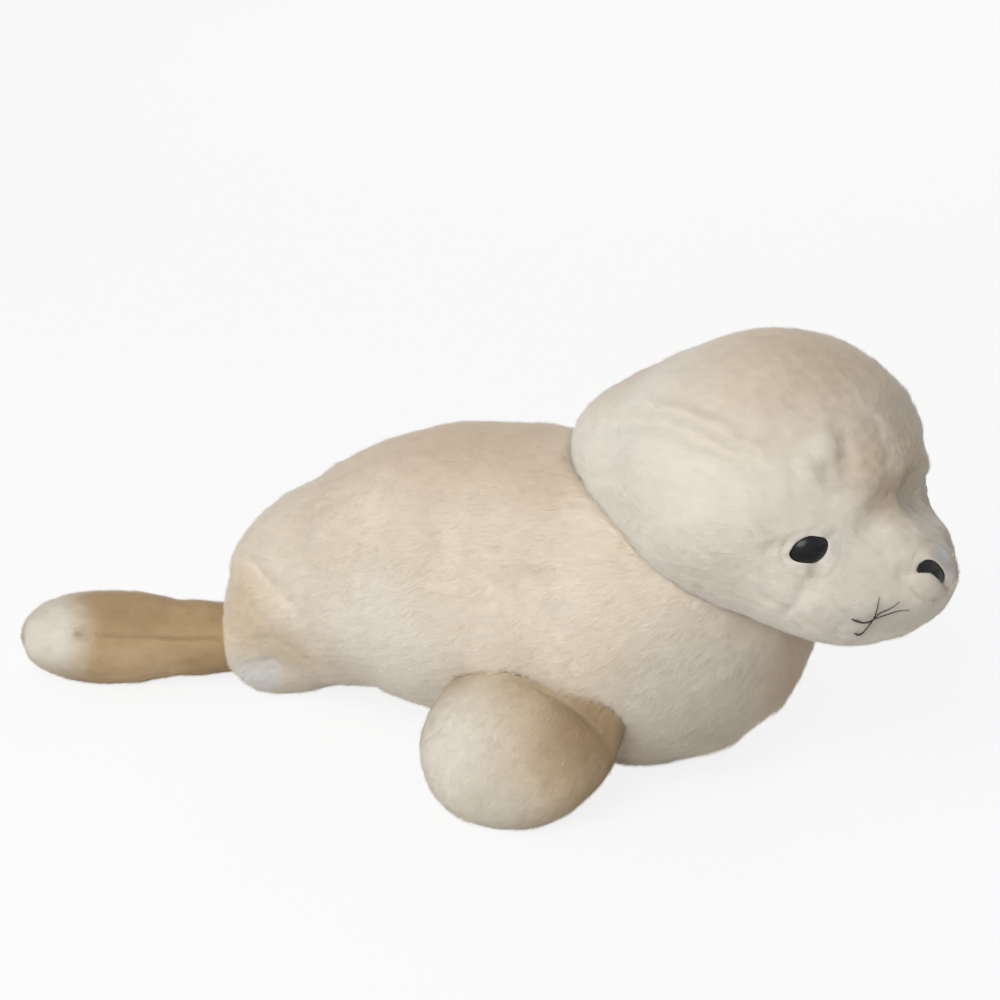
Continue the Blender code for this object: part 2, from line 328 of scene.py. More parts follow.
@dataclass(frozen=True)
class FurFinish:
    """Soft short plush fur: a main colour and a deeper one between its clumps."""

    colour: Colour
    deep: Colour
    cloud: float = 0.030
    clump: float = 0.0060
    cloud_share: float = 0.9
    clump_share: float = 0.45
    deep_share: float = 0.18
    edge_wander: float = 0.016
    sheen: float = 0.30
    sheen_roughness: float = 0.4
    roughness: float = 0.85
    gloss: float = 0.15
    glow: float = 0.60            # share of the light on a strand's underside that comes through it

    def material(self, name: str, spots: list[tuple["Patch", Point]]) -> bpy.types.Material:
        """Make the material.

        Args:
            name: Its name.
            spots: Patches of other colours, each with its middle.

        Returns:
            The finished material.
        """
        graph = ShaderGraph(name)
        place = graph.place()
        clouds = graph.noise(place, self.cloud, 2.0) - 0.5
        clumps = graph.noise(place, self.clump, 2.0) - 0.5
        share = clouds * self.cloud_share + clumps * self.clump_share + self.deep_share
        colour = graph.mixed(share, self.colour, self.deep)
        wander = clouds * self.edge_wander
        for patch, middle in spots:
            ends = {0: place, 1: middle}
            away = graph.node("ShaderNodeVectorMath", {"operation": "DISTANCE"}, ends, "Value")
            share = graph.eased(away + wander, patch.fade, patch.full, patch.strength)
            colour = graph.mixed(share, colour, patch.colour)
        graph.finish({
            "Base Color": colour,
            "Roughness": self.roughness,
            "Specular IOR Level": self.gloss,
            "Sheen Weight": self.sheen,
            "Sheen Roughness": self.sheen_roughness,
        })
        under = graph.node("ShaderNodeNewGeometry", {}, {}, "Backfacing")
        lit = graph.node("ShaderNodeBsdfTranslucent", {}, {"Color": self.colour})
        graph.overlaid(under * self.glow, lit)
        return graph.material


@dataclass(frozen=True)
class PlasticFinish:
    """Moulded plastic with faint flow marks and handling scuffs."""

    name: str
    colour: Colour
    scuffed: Colour
    roughness: float
    scuff_roughness: float
    coat: float
    gloss: float = 0.5
    mark: float = 0.004
    mark_height: float = 0.00004
    scuffing: tuple[float, float] = (0.52, 0.72)    # marks at which scuffs begin and are full
    coat_roughness: float = 0.12

    def material(self) -> bpy.types.Material:
        """Make the material."""
        graph = ShaderGraph(self.name)
        place = graph.place()
        marks = graph.noise(place, self.mark, 4.0)
        scuffs = graph.eased(marks, *self.scuffing, 1.0)
        bump = graph.node("ShaderNodeBump", {}, {"Distance": self.mark_height, "Height": marks}, "Normal")
        return graph.finish({
            "Base Color": graph.mixed(scuffs, self.colour, self.scuffed),
            "Roughness": self.roughness + scuffs * (self.scuff_roughness - self.roughness),
            "Normal": bump,
            "Specular IOR Level": self.gloss,
            "Coat Weight": self.coat,
            "Coat Roughness": self.coat_roughness,
        })


@dataclass(frozen=True)
class ThreadFinish:
    """Waxed black sewing thread with lighter dust along its plies."""

    name: str
    colour: Colour
    dusty: Colour
    fibre: float = 0.0006
    dusting: tuple[float, float, float] = (0.45, 0.8, 0.8)    # fibres where dust begins, is full, its share
    roughness: float = 0.6
    sheen: float = 0.2

    def material(self) -> bpy.types.Material:
        """Make the material."""
        graph = ShaderGraph(self.name)
        fibres = graph.noise(graph.place(), self.fibre, 3.0)
        dust = graph.eased(fibres, *self.dusting)
        return graph.finish({
            "Base Color": graph.mixed(dust, self.colour, self.dusty),
            "Roughness": self.roughness,
            "Sheen Weight": self.sheen,
        })


@dataclass(frozen=True)
class FloorFinish:
    """A plain white floor that keeps a light shadow and looks white to the camera."""

    name: str
    colour: Colour
    white_share: float
    roughness: float = 0.9
    gloss: float = 0.1

    def material(self) -> bpy.types.Material:
        """Make the material."""
        graph = ShaderGraph(self.name)
        graph.finish({
            "Base Color": self.colour,
            "Roughness": self.roughness,
            "Specular IOR Level": self.gloss,
        })
        seen = graph.node("ShaderNodeLightPath", {}, {}, "Is Camera Ray")
        white = graph.node("ShaderNodeEmission", {}, {"Color": FULL_WHITE, "Strength": 1.0})
        graph.overlaid(seen * self.white_share, white)
        return graph.material


class Ripples:
    """Smooth random rise and fall, mostly between -1 and 1."""

    def __init__(self, wavelength: float, seed: int, waves: int = 18) -> None:
        """Draw the waves.

        Args:
            wavelength: Their usual length in metres.
            seed: The seed of the draw.
            waves: How many are added up.
        """
        draw = np.random.default_rng(seed)
        pace = 2.0 * math.pi / wavelength * draw.uniform(*WAVE_PACES, waves)
        self.waves = unit(draw.normal(size=(waves, 3))) * pace[:, None]
        self.phases = draw.uniform(0.0, 2.0 * math.pi, waves)

    def __call__(self, points: np.ndarray) -> np.ndarray:
        """Height of the ripples at some points."""
        return np.sin(points @ self.waves.T + self.phases).sum(-1) / math.sqrt(len(self.phases))


@dataclass(frozen=True)
class Lobe:
    """One round swelling of a pouch: centre, half sizes, and turn in degrees about X, Y and Z."""

    centre: Point
    half: Point
    turn: Point = (0.0, 0.0, 0.0)

    def frame(self, grown: float = 0.0) -> tuple[np.ndarray, np.ndarray]:
        """Give the lobe's centre and the matrix that turns an offset into one in half sizes.

        Args:
            grown: How much larger the lobe is taken, all round.

        Returns:
            The centre and the matrix, for row vectors.
        """
        matrix = np.array(Euler([math.radians(a) for a in self.turn]).to_matrix())
        return np.array(self.centre), matrix / (np.array(self.half) + grown)


class Form:
    """The blend of some lobes, seen from a heart inside it."""

    def __init__(self, lobes: list[Lobe], heart: Point, spread: Point, turn: Point = (0.0, 0.0, 0.0)) -> None:
        """Keep the lobes and how rays spread from the heart.

        Args:
            lobes: The round swellings.
            heart: A point inside all sections.
            spread: How far the rays are stretched along each axis.
            turn: Turn of those axes in degrees.
        """
        self.lobes = lobes
        self.frames = [lobe.frame() for lobe in lobes]
        self.heart = np.array(heart)
        self.spread = np.array(spread)
        self.axes = np.array(Euler([math.radians(a) for a in turn]).to_matrix())

    def grown(self, amount: float) -> "Form":
        """The same form, larger all round."""
        larger = copy(self)
        larger.frames = [lobe.frame(amount) for lobe in self.lobes]
        return larger

    def fullness(self, points: np.ndarray) -> np.ndarray:
        """Above 1 inside the form and below 1 outside it."""
        total = np.zeros(points.shape[:-1])
        for centre, matrix in self.frames:
            local = (points - centre) @ matrix
            total += ((local * local).sum(-1) + TINY) ** (-NECK_SOFTNESS / 2.0)
        return total

    def normals(self, points: np.ndarray) -> np.ndarray:
        """Outward directions of the form at points on it."""
        slope = np.zeros(points.shape)
        for centre, matrix in self.frames:
            local = (points - centre) @ matrix
            weight = ((local * local).sum(-1, keepdims=True) + TINY) ** (-NECK_SOFTNESS / 2.0 - 1.0)
            slope += weight * (local @ matrix.T)
        return unit(slope)

    def crossing(self, origin: np.ndarray, rays: np.ndarray, far: float, inside: bool) -> np.ndarray:
        """Find where rays cross the form's surface.

        Args:
            origin: Where they start.
            rays: Their directions and lengths.
            far: How many of its lengths each ray reaches.
            inside: Whether they start inside the form.

        Returns:
            The point of each ray just before it crosses.
        """
        low = np.zeros(len(rays))
        high = np.full(len(rays), far)
        for _ in range(SOLVE_STEPS):
            middle = (low + high) / 2.0
            onward = (self.fullness(origin + middle[:, None] * rays) > 1.0) == inside
            low = np.where(onward, middle, low)
            high = np.where(onward, high, middle)
        return origin + low[:, None] * rays

    def cast(self, directions: np.ndarray) -> np.ndarray:
        """Points where rays from the heart, stretched by the spread, leave the form."""
        return self.crossing(self.heart, (directions * self.spread) @ self.axes.T, FARTHEST_RAY, True)

    def kept_out(self, points: np.ndarray, heart: np.ndarray) -> np.ndarray:
        """Draw points that lie in this form back towards another pouch's heart, onto its surface.

        Args:
            points: Corners of the other pouch.
            heart: That pouch's heart, which lies outside this form.

        Returns:
            The points, none of them inside this form.
        """
        inside = self.fullness(points) > 1.0
        kept = points.copy()
        kept[inside] = self.crossing(heart, points[inside] - heart, 1.0, False)
        return kept

    def bearings(self, points: np.ndarray) -> np.ndarray:
        """Unit directions from the heart in the form's own stretched axes."""
        return unit(((points - self.heart) @ self.axes) / self.spread)


@dataclass(frozen=True)
class PhotoCamera:
    """The camera, at the angle and distance of the photograph."""

    azimuth: float = 26.0
    elevation: float = 20.0
    distance: float = 1.4
    pixel: float = 0.00051        # metres for each pixel at the target
    target: Point = (0.00915, 0.0, 0.121)
    frame_pixels: float = 1000.0
    sensor: float = 36.0
    depth: float = 0.35           # that is searched for the toy, to each side of the target
    samples: int = 900            # along that depth

    def axes(self) -> tuple[np.ndarray, np.ndarray, np.ndarray]:
        """Unit vectors to the right, up and back towards the camera."""
        azimuth = math.radians(self.azimuth)
        elevation = math.radians(self.elevation)
        level = math.cos(elevation)
        back = np.array([math.sin(azimuth) * level, -math.cos(azimuth) * level, math.sin(elevation)])
        right = np.array([math.cos(azimuth), math.sin(azimuth), 0.0])
        return right, np.cross(back, right), back

    def sight(self, pixel: Pixel) -> tuple[np.ndarray, np.ndarray]:
        """Give the line of sight through a pixel of the photograph.

        Args:
            pixel: Its place across and down.

        Returns:
            The camera's place and the unit direction.
        """
        right, up, back = self.axes()
        middle = self.frame_pixels / 2.0
        spot = np.array(self.target)
        origin = spot + back * self.distance
        spot = spot + right * (pixel[0] - middle) * self.pixel + up * (middle - pixel[1]) * self.pixel
        return origin, unit(spot - origin)

    def spot(self, form: Form, pixel: Pixel) -> np.ndarray:
        """Find where the line of sight through a pixel first meets a form.

        Args:
            form: The form.
            pixel: The pixel's place across and down.

        Returns:
            The point that it meets, or the one where it passes closest.
        """
        origin, heading = self.sight(pixel)
        reach = np.linspace(self.distance - self.depth, self.distance + self.depth, self.samples)
        full = form.fullness(origin + reach[:, None] * heading)
        inside = full > 1.0
        first = int(np.argmax(inside if inside.any() else full))
        return origin + reach[first] * heading

    def build(self) -> None:
        """Put the camera into the scene."""
        right, up, back = self.axes()
        data = bpy.data.cameras.new("photo_camera")
        data.sensor_width = self.sensor
        data.lens = self.sensor * self.distance / (self.pixel * self.frame_pixels)
        camera = bpy.data.objects.new("photo_camera", data)
        turn = Matrix([list(axis) for axis in (right, up, back)]).transposed().to_4x4()
        camera.matrix_world = Matrix.Translation(Vector(self.target) + Vector(back) * self.distance) @ turn
        bpy.context.collection.objects.link(camera)
        bpy.context.scene.camera = camera


CAMERA = PhotoCamera()


class Mirroring(Enum):
    """On which sides of a pouch a stroke is laid."""

    SEEN = "only where the photograph shows it"
    BOTH = "on both sides alike"


@dataclass(frozen=True)
class Stroke:
    """A crease, ridge or dent, along a line or at a spot of the photograph."""

    pixels: tuple[Pixel, ...]
    height: float                 # metres out of the skin; negative goes in
    width: float                  # metres to each side
    mirroring: Mirroring = Mirroring.BOTH
    blunt: bool = False           # keeps its height up to its ends
    steps: int = 6                # from one point to the next
    end_cut: float = 0.06         # how much of the fading is cut off at each end
    end_power: float = 0.7

    def route(self, form: Form) -> np.ndarray:
        """Lay the stroke's line on a form, with soft bends between its points."""
        knots = np.array([CAMERA.spot(form, pixel) for pixel in self.pixels])
        if len(knots) < 3:
            return knots
        padded = with_ends(knots)
        share = np.linspace(0.0, 1.0, self.steps, endpoint=False)[:, None]
        route = [bent(corners, share) for corners in zip(padded, padded[1:], padded[2:], padded[3:])]
        return np.vstack([*route, knots[-1:]])

    def heights(self, points: np.ndarray, route: np.ndarray) -> np.ndarray:
        """Height that the stroke adds.

        Args:
            points: Points on the skin.
            route: The stroke's line.

        Returns:
            Metres out of the skin at each point.
        """
        if len(route) == 1:
            away = np.linalg.norm(points - route[0], axis=-1)
            return self.height * np.exp(-((away / self.width) ** 2))
        nearest = np.full(len(points), np.inf)
        progress = np.zeros(len(points))
        for step, (start, end) in enumerate(zip(route, route[1:])):
            run = end - start
            share = np.clip(((points - start) @ run) / max(run @ run, TINY), 0.0, 1.0)
            away = np.linalg.norm(points - start - share[:, None] * run, axis=-1)
            closer = away < nearest
            nearest = np.where(closer, away, nearest)
            progress = np.where(closer, (step + share) / (len(route) - 1), progress)
        fading = np.ones(len(points))
        if not self.blunt:
            faded = self.end_cut + (1.0 - 2.0 * self.end_cut) * progress
            fading = np.sin(math.pi * faded) ** self.end_power
        return self.height * fading * np.exp(-((nearest / self.width) ** 2))


@dataclass(frozen=True)
class Patch:
    """A round patch of another colour with a soft, uneven edge, at a spot of the photograph."""

    pixel: Pixel
    full: float                   # metres from its middle that it covers wholly
    fade: float                   # metres from its middle where it ends
    colour: Colour
    strength: float = 1.0
    mirroring: Mirroring = Mirroring.BOTH


@dataclass(frozen=True)
class Plane:
    """An upright mirror plane through a point, at a bearing in degrees."""

    at: tuple[float, float]
    bearing: float = 0.0

    def mirrored(self, points: np.ndarray) -> np.ndarray:
        """Reflect points in the plane."""
        bearing = math.radians(self.bearing)
        side = np.array([-math.sin(bearing), math.cos(bearing), 0.0])
        offset = (points - np.array([*self.at, 0.0])) @ side
        return points - 2.0 * offset[..., None] * side


@dataclass(frozen=True)
class Pile:
    """How the strands of a fur cloth lie."""

    length: float = 0.0065
    width: float = 0.00046
    lean: float = 15.0            # degrees off the skin
    lean_spread: float = 3.5
    stray: float = 8.0            # degrees to each side
    clump: float = 0.014
    clump_turn: float = 13.0      # degrees
    tuft: float = 0.0070
    tuft_tilt: float = 0.10
    sunk: float = 0.0003
    own_lean: float = 0.6         # share of the spread that each strand draws for itself
    own_tilt: float = 0.5
    lean_tilt: float = 0.6        # how much of the tilt follows the tufts' lean
    tilt_length: float = 0.8      # of the waves of tilt, in tufts
    leans: tuple[float, float] = (0.04, 1.2)        # least and most lean, in radians
    lengths: tuple[float, float] = (0.7, 1.15)      # shares of the length
    widths: tuple[float, float] = (0.75, 1.2)       # shares of the width


def above_floor(points: np.ndarray) -> np.ndarray:
    """Lift points that lie lower than the floor allows."""
    return np.column_stack([points[:, :2], np.maximum(points[:, 2], FLOOR_CLEARANCE)])


def square_sphere(squares: int) -> tuple[np.ndarray, np.ndarray]:
    """Make a round grid out of a cube, with no poles.

    Args:
        squares: Squares along one side of the cube.

    Returns:
        Unit directions of the corners, and the four corners of each square, counter-clockwise from outside.
    """
    steps = np.arange(squares + 1)
    first, second = np.meshgrid(steps, steps, indexing="ij")
    lattice = []
    quads = []
    for axis in range(3):
        for far_side in (0, 1):
            corners = np.zeros((squares + 1, squares + 1, 3), int)
            corners[..., axis] = squares * far_side
            corners[..., (axis + 1) % 3] = first
            corners[..., (axis + 2) % 3] = second
            index = np.arange((squares + 1) ** 2).reshape(squares + 1, squares + 1) + sum(map(len, lattice))
            four = [index[:-1, :-1], index[1:, :-1], index[1:, 1:], index[:-1, 1:]]
            quad = np.stack(four, -1).reshape(-1, 4)
            quads.append(quad if far_side else quad[:, ::-1])
            lattice.append(corners.reshape(-1, 3))
    corners, place = np.unique(np.vstack(lattice), axis=0, return_inverse=True)
    warped = np.tan((corners / squares * 2.0 - 1.0) * math.pi / 4.0)
    return unit(warped), place.reshape(-1)[np.vstack(quads)]


class Skin:
    """A cloth surface: corners, four-sided faces, and what the fur needs at each corner."""

    def __init__(self, points: np.ndarray, quads: np.ndarray) -> None:
        """Keep the surface and work out its outward directions."""
        self.points = points
        self.quads = quads
        self.normals = self.outward()
        self.flow = np.zeros(points.shape)
        self.length = np.ones(len(points))
        self.density = np.ones(len(points))

    def outward(self) -> np.ndarray:
        """Outward directions at the corners, from the faces round them."""
        a, b, c, d = (self.points[self.quads[:, k]] for k in range(4))
        faces = np.cross(c - a, d - b)
        total = np.zeros(self.points.shape)
        for k in range(4):
            for axis in range(3):
                total[:, axis] += np.bincount(self.quads[:, k], faces[:, axis], len(self.points))
        return unit(total)

    def move(self, points: np.ndarray) -> None:
        """Move the corners."""
        self.points = points
        self.normals = self.outward()

    def tree(self) -> BVHTree:
        """A search tree over the faces."""
        return BVHTree.FromPolygons(self.points.tolist(), self.quads.tolist())


def add_piece(name: str, mesh: bpy.types.Mesh, material: bpy.types.Material) -> bpy.types.Object:
    """Put a mesh into the scene as a piece of the toy.

    Args:
        name: The piece's name.
        mesh: Its mesh.
        material: Its finish.

    Returns:
        The new object.
    """
    mesh.materials.append(material)
    piece = bpy.data.objects.new(name, mesh)
    bpy.context.collection.objects.link(piece)
    LOG.info("%s: %d faces", name, len(mesh.polygons))
    return piece


def add_part(node: str, ending: str, points: np.ndarray, polygons: list, material: bpy.types.Material) -> bpy.types.Object:
    """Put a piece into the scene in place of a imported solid.

    Args:
        node: The solid's node.
        ending: What the piece's name adds to the node's.
        points: The corners of its mesh.
        polygons: Corner numbers of each face.
        material: Its finish.

    Returns:
        The new object.
    """
    mesh = bpy.data.meshes.new(node + ending)
    mesh.from_pydata(points.tolist(), [], polygons)
    mesh.shade_smooth()
    piece = add_piece(node + ending, mesh, material)
    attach(piece, BODY)
    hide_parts(node)
    return piece


class Fur:
    """Strands that grow on a skin."""

    def __init__(self, pouch: "Pouch", skin: Skin, seed: int) -> None:
        """Keep the pouch that it belongs to, the skin and the seed of the draw."""
        self.pouch = pouch
        self.skin = skin
        self.seed = seed

    def roots(self, count: int, share: np.ndarray) -> dict[str, np.ndarray]:
        """Draw where strands grow.

        Args:
            count: How many there are.
            share: How densely each corner of the skin is covered.

        Returns:
            Root, normal, flow and length of each strand.
        """
        skin = self.skin
        draw = np.random.default_rng(self.seed)
        corners = np.vstack([skin.quads[:, [0, 1, 2]], skin.quads[:, [0, 2, 3]]])
        a, b, c = (skin.points[corners[:, k]] for k in range(3))
        weight = np.linalg.norm(np.cross(b - a, c - a), axis=-1) * share[corners].mean(1)
        ladder = np.cumsum(weight) / weight.sum()
        rungs = (np.arange(count) + draw.random(count)) / count
        chosen = corners[np.searchsorted(ladder, rungs).clip(0, len(corners) - 1)]
        first, second = draw.random((2, count))
        folded = first + second > 1.0
        first = np.where(folded, 1.0 - first, first)
        second = np.where(folded, 1.0 - second, second)
        parts = np.stack([1.0 - first - second, first, second], -1)[..., None]
        return {
            "root": (skin.points[chosen] * parts).sum(1),
            "normal": unit((skin.normals[chosen] * parts).sum(1)),
            "flow": (skin.flow[chosen] * parts).sum(1),
            "length": (skin.length[chosen] * parts[..., 0]).sum(1),
        }

    def grow(self, count: int, share: np.ndarray) -> tuple[np.ndarray, np.ndarray]:
        """Grow strands as slim three-cornered blades.

        Args:
            count: How many there are.
            share: How densely each corner of the skin is covered.

        Returns:
            Three corners and three shading directions for each strand.
        """
        pile = self.pouch.pile
        drawn = self.roots(count, share)
        root, normal = drawn["root"], drawn["normal"]
        draw = np.random.default_rng(self.seed + 1)
        flow = along_skin(drawn["flow"], normal)
        across = np.cross(normal, flow)
        turn = np.radians(pile.clump_turn) * Ripples(pile.clump, self.seed + 2)(root)
        turn += np.radians(pile.stray) * draw.normal(size=count)
        heading = flow * np.cos(turn)[:, None] + across * np.sin(turn)[:, None]
        tuft = Ripples(pile.tuft, self.seed + 3)(root)
        lean = pile.lean + pile.lean_spread * (pile.own_lean * draw.normal(size=count) + tuft)
        lean = np.radians(lean).clip(*pile.leans)
        length = pile.length * drawn["length"] * draw.uniform(*pile.lengths, count)
        rise = (length * np.sin(lean))[:, None]
        tip = above_floor(root + heading * (length * np.cos(lean))[:, None] + normal * rise)
        half = pile.width / 2.0 * draw.uniform(*pile.widths, count)
        wide = unit(np.cross(normal, heading)) * half[:, None]
        base = above_floor(root - normal * pile.sunk)
        points = np.stack([base + wide, base - wide, tip], 1)
        tilt = Ripples(pile.tuft * pile.tilt_length, self.seed + 4)(root) * pile.tuft_tilt
        tilt += draw.normal(size=count) * pile.tuft_tilt * pile.own_tilt
        along = tuft * pile.tuft_tilt * pile.lean_tilt
        shading = unit(normal + across * tilt[:, None] + flow * along[:, None])
        return points, np.repeat(shading[:, None], 3, 1)

    def build(self, name: str, count: int, share: np.ndarray, parent: bpy.types.Object) -> None:
        """Make one piece of fur.

        Args:
            name: The piece's name.
            count: How many strands it has.
            share: How densely each corner of the skin is covered.
            parent: The cloth that it grows on.
        """
        points, shading = self.grow(count, share)
        piece = self.pouch.add_cloth(name, points.reshape(-1, 3), np.arange(3 * count).reshape(-1, 3))
        layer = piece.data.attributes.new("custom_normal", "FLOAT_VECTOR", "POINT")
        layer.data.foreach_set("vector", shading.astype(np.float32).ravel())
        piece.parent = parent


@dataclass
class Pouch:
    """A stuffed pouch of fur cloth. What differs between the pouches is in the classes that follow."""

    node: str
    slot: str
    fill: float
    squares: int
    strands: int
    seed: int
    pile: Pile = field(default_factory=Pile)
    swell: float = 0.0006         # height of the soft waves in the filling
    swell_length: float = 0.042
    fine_swell: float = 0.3       # height of finer waves, as a share of the soft ones
    fine_length: float = 0.4      # their length, as a share
    depth: float = 0.0016         # of the cloth under the tips of the pile
    underside: float = -0.6       # outward Z below which the cloth counts as the underside
    under_pile: float = 0.45      # share of the pile there
    rest_pile: float = 0.1        # share of the pile where the cloth rests on the floor
    hidden: float = 0.003         # how deep in another form no pile grows
    finish: FurFinish | None = None
    patches: tuple[Patch, ...] = ()
    skin: Skin | None = None
    material: bpy.types.Material | None = None

    def form(self) -> Form:
        """The pouch's round form."""
        raise NotImplementedError

    def mirror(self) -> Plane:
        """The plane between its two sides."""
        return Plane((0.0, 0.0))

    def strokes(self) -> list[Stroke]:
        """The folds and dents that the photograph shows."""
        return []

    def neighbours(self) -> list[Form]:
        """The forms that this pouch makes room for."""
        return []

    def covers(self) -> list[Form]:
        """The forms that hide this pouch's fur."""
        return self.neighbours()

    def fit(self, skin: Skin) -> None:
        """Fit the skin to what is set into it."""

    def lay(self, skin: Skin) -> np.ndarray:
        """Direction of the pile at each corner, before it is laid on the skin."""
        raise NotImplementedError

    def lengths(self, skin: Skin) -> np.ndarray:
        """Length of the pile at each corner, as a share of the full one."""
        return np.ones(len(skin.points))

    def spots(self) -> list[tuple[Patch, Point]]:
        """The patches, each with its middle, on the sides where it lies."""
        form = self.form()
        found = []
        for patch in self.patches:
            middle = CAMERA.spot(form, patch.pixel)
            found.append((patch, tuple(middle)))
            if patch.mirroring is Mirroring.BOTH:
                found.append((patch, tuple(self.mirror().mirrored(middle))))
        return found

    def relief(self, points: np.ndarray, form: Form) -> np.ndarray:
        """Height of all strokes and soft waves at some points on the form."""
        total = self.swell * Ripples(self.swell_length, self.seed)(points)
        fine = Ripples(self.fine_length * self.swell_length, self.seed + 50)
        total += self.fine_swell * self.swell * fine(points)
        for stroke in self.strokes():
            route = stroke.route(form)
            total += stroke.heights(points, route)
            if stroke.mirroring is Mirroring.BOTH:
                total += stroke.heights(points, self.mirror().mirrored(route))
        return total

    def make_skin(self) -> Skin:
        """Form the cloth: the round form, its relief, room for its neighbours, and a flat rest."""
        form = self.form()
        directions, quads = square_sphere(self.squares)
        points = form.cast(directions)
        points = points + form.normals(points) * (self.relief(points, form) - self.depth)[:, None]
        skin = Skin(points, quads)
        self.fit(skin)
        points = skin.points
        for neighbour in self.neighbours():
            points = neighbour.grown(-NEIGHBOUR_DEPTH - BITE).kept_out(points, form.heart)
        skin.move(above_floor(points))
        return skin

    def cover(self, skin: Skin) -> np.ndarray:
        """How much of the full pile shows at each corner: none under a neighbour, less underneath."""
        share = np.where(skin.normals[:, 2] < self.underside, self.under_pile, 1.0)
        share *= np.where(skin.points[:, 2] < 2.0 * FLOOR_CLEARANCE, self.rest_pile, 1.0)
        for form in self.covers():
            share *= np.where(form.grown(-self.hidden).fullness(skin.points) > 1.0, 0.0, 1.0)
        return share

    def add_cloth(self, name: str, points: np.ndarray, faces: np.ndarray) -> bpy.types.Object:
        """Put a mesh of this pouch's cloth or fur into the scene.

        It gets a flat map of two discs, one for each side of the pouch's form.

        Args:
            name: The piece's name.
            points: Its corners.
            faces: Corner numbers, one row for each face.

        Returns:
            The new object.
        """
        mesh = bpy.data.meshes.new(name)
        mesh.vertices.add(len(points))
        mesh.vertices.foreach_set("co", points.astype(np.float32).ravel())
        mesh.loops.add(faces.size)
        mesh.loops.foreach_set("vertex_index", faces.astype(np.int32).ravel())
        mesh.polygons.add(len(faces))
        mesh.polygons.foreach_set("loop_start", np.arange(0, faces.size, faces.shape[1], dtype=np.int32))
        mesh.update(calc_edges=True)
        mesh.shade_smooth()
        bearing = self.form().bearings(points)[faces]
        side = np.where(bearing.mean(1)[:, 1] < 0.0, -1.0, 1.0)[:, None]
        polar = np.arccos(np.clip(bearing[..., 1] * side, -1.0, 1.0)) / math.pi
        angle = np.arctan2(bearing[..., 2], bearing[..., 0])
        across = 0.5 + 0.25 * side + BAKE_DISC * polar * np.cos(angle)
        up = 0.5 + 2.0 * BAKE_DISC * polar * np.sin(angle)
        layer = mesh.uv_layers.new(name=BAKE_MAP)
        layer.uv.foreach_set("vector", np.stack([across, up], -1).astype(np.float32).ravel())
        return add_piece(name, mesh, self.material)

    def build(self) -> bpy.types.Object:
        self.skin = skin = self.make_skin()
        self.material = self.finish.material(self.node + "_fur", self.spots())
        cloth = self.add_cloth(self.node + "_cloth", skin.points, skin.quads)
        skin.flow = along_skin(self.lay(skin), skin.normals)
        skin.length = self.lengths(skin)
        skin.density = self.cover(skin)
        parts = math.ceil(self.strands / STRANDS_A_PIECE)
        ends = self.form().bearings(skin.points)[:, 1]
        for part in range(parts):
            label = ("_pile", "_pile_right", "_pile_left")[part + (parts > 1)]
            share = skin.density
            if parts > 1:
                share = share * np.where((ends < 0.0) == (part == 0), 1.0, 0.0)
            fur = Fur(self, skin, self.seed + 10 * part)
            fur.build(self.node + label, self.strands // parts, share, cloth)
        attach(cloth, BODY)
        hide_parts(self.node)
        return cloth


@dataclass
class Body(Pouch):
    """The long pouch from the rump to the chest."""

    chest: Lobe = Lobe((0.0902, 0.0, 0.0800), (0.0870, 0.0845, 0.0810))
    belly: Lobe = Lobe((0.0167, 0.0, 0.0815), (0.1220, 0.0810, 0.0775))
    loin: Lobe = Lobe((-0.0798, 0.0, 0.0600), (0.0630, 0.0570, 0.0515))
    rump: Lobe = Lobe((-0.1198, 0.0, 0.0360), (0.0240, 0.0460, 0.0420))
    rump_fold: Lobe = Lobe((-0.1128, 0.0, 0.0180), (0.0340, 0.0380, 0.0220))
    downhill: float = 0.55        # how far the pile turns down on its way to the tail

    def form(self) -> Form:
        """The body's round form."""
        rear = self.rump.centre[0] - self.rump.half[0]
        front = self.chest.centre[0] + self.chest.half[0]
        heart = ((rear + front) / 2.0, 0.0, self.loin.centre[2])
        spread = ((front - rear) / 2.0, self.chest.half[1], self.chest.half[2])
        return Form([self.rump_fold, self.rump, self.loin, self.belly, self.chest], heart, spread)

    def neighbours(self) -> list[Form]:
        """The head, which nests into the body at the neck seam."""
        return [HEAD.form()]

    def strokes(self) -> list[Stroke]:
        """Rear seam, ruffles over the fold, side dimples, chest crease."""
        return [
            Stroke(((234, 556), (242, 574), (258, 595), (280, 622)), 0.0024, 0.0046),
            Stroke(((246, 548), (257, 570), (276, 589), (300, 614)), -0.0024, 0.0050),
            Stroke(((256, 650), (275, 640), (300, 655), (322, 668)), -0.0014, 0.0050),
            Stroke(((240, 668), (270, 664), (300, 678)), -0.0018, 0.0045),
            Stroke(((496, 588),), -0.0028, 0.0090),
            Stroke(((509, 562),), 0.0030, 0.0090),
            Stroke(((541, 562), (540, 582)), -0.0050, 0.0110),
            Stroke(((556, 586),), 0.0026, 0.0085),
            Stroke(((508, 540), (506, 566), (500, 596)), 0.0009, 0.0040, Mirroring.SEEN),
            Stroke(((404, 560),), 0.0030, 0.0150, Mirroring.SEEN),
            Stroke(((440, 500), (452, 545), (444, 590)), -0.0032, 0.0110, Mirroring.SEEN),
            Stroke(((352, 560), (366, 590)), -0.0028, 0.0120, Mirroring.SEEN),
            Stroke(((320, 525), (330, 545)), 0.0022, 0.0140, Mirroring.SEEN),
            Stroke(((625, 692), (645, 704), (669, 719)), -0.0009, 0.0025),
            Stroke(((600, 640), (640, 655), (700, 680)), 0.0010, 0.0110, Mirroring.SEEN),
        ]

    def lay(self, skin: Skin) -> np.ndarray:
        """The pile runs from the neck to the tail and down the sides."""
        return np.tile(np.array([-1.0, 0.0, -self.downhill]), (len(skin.points), 1))


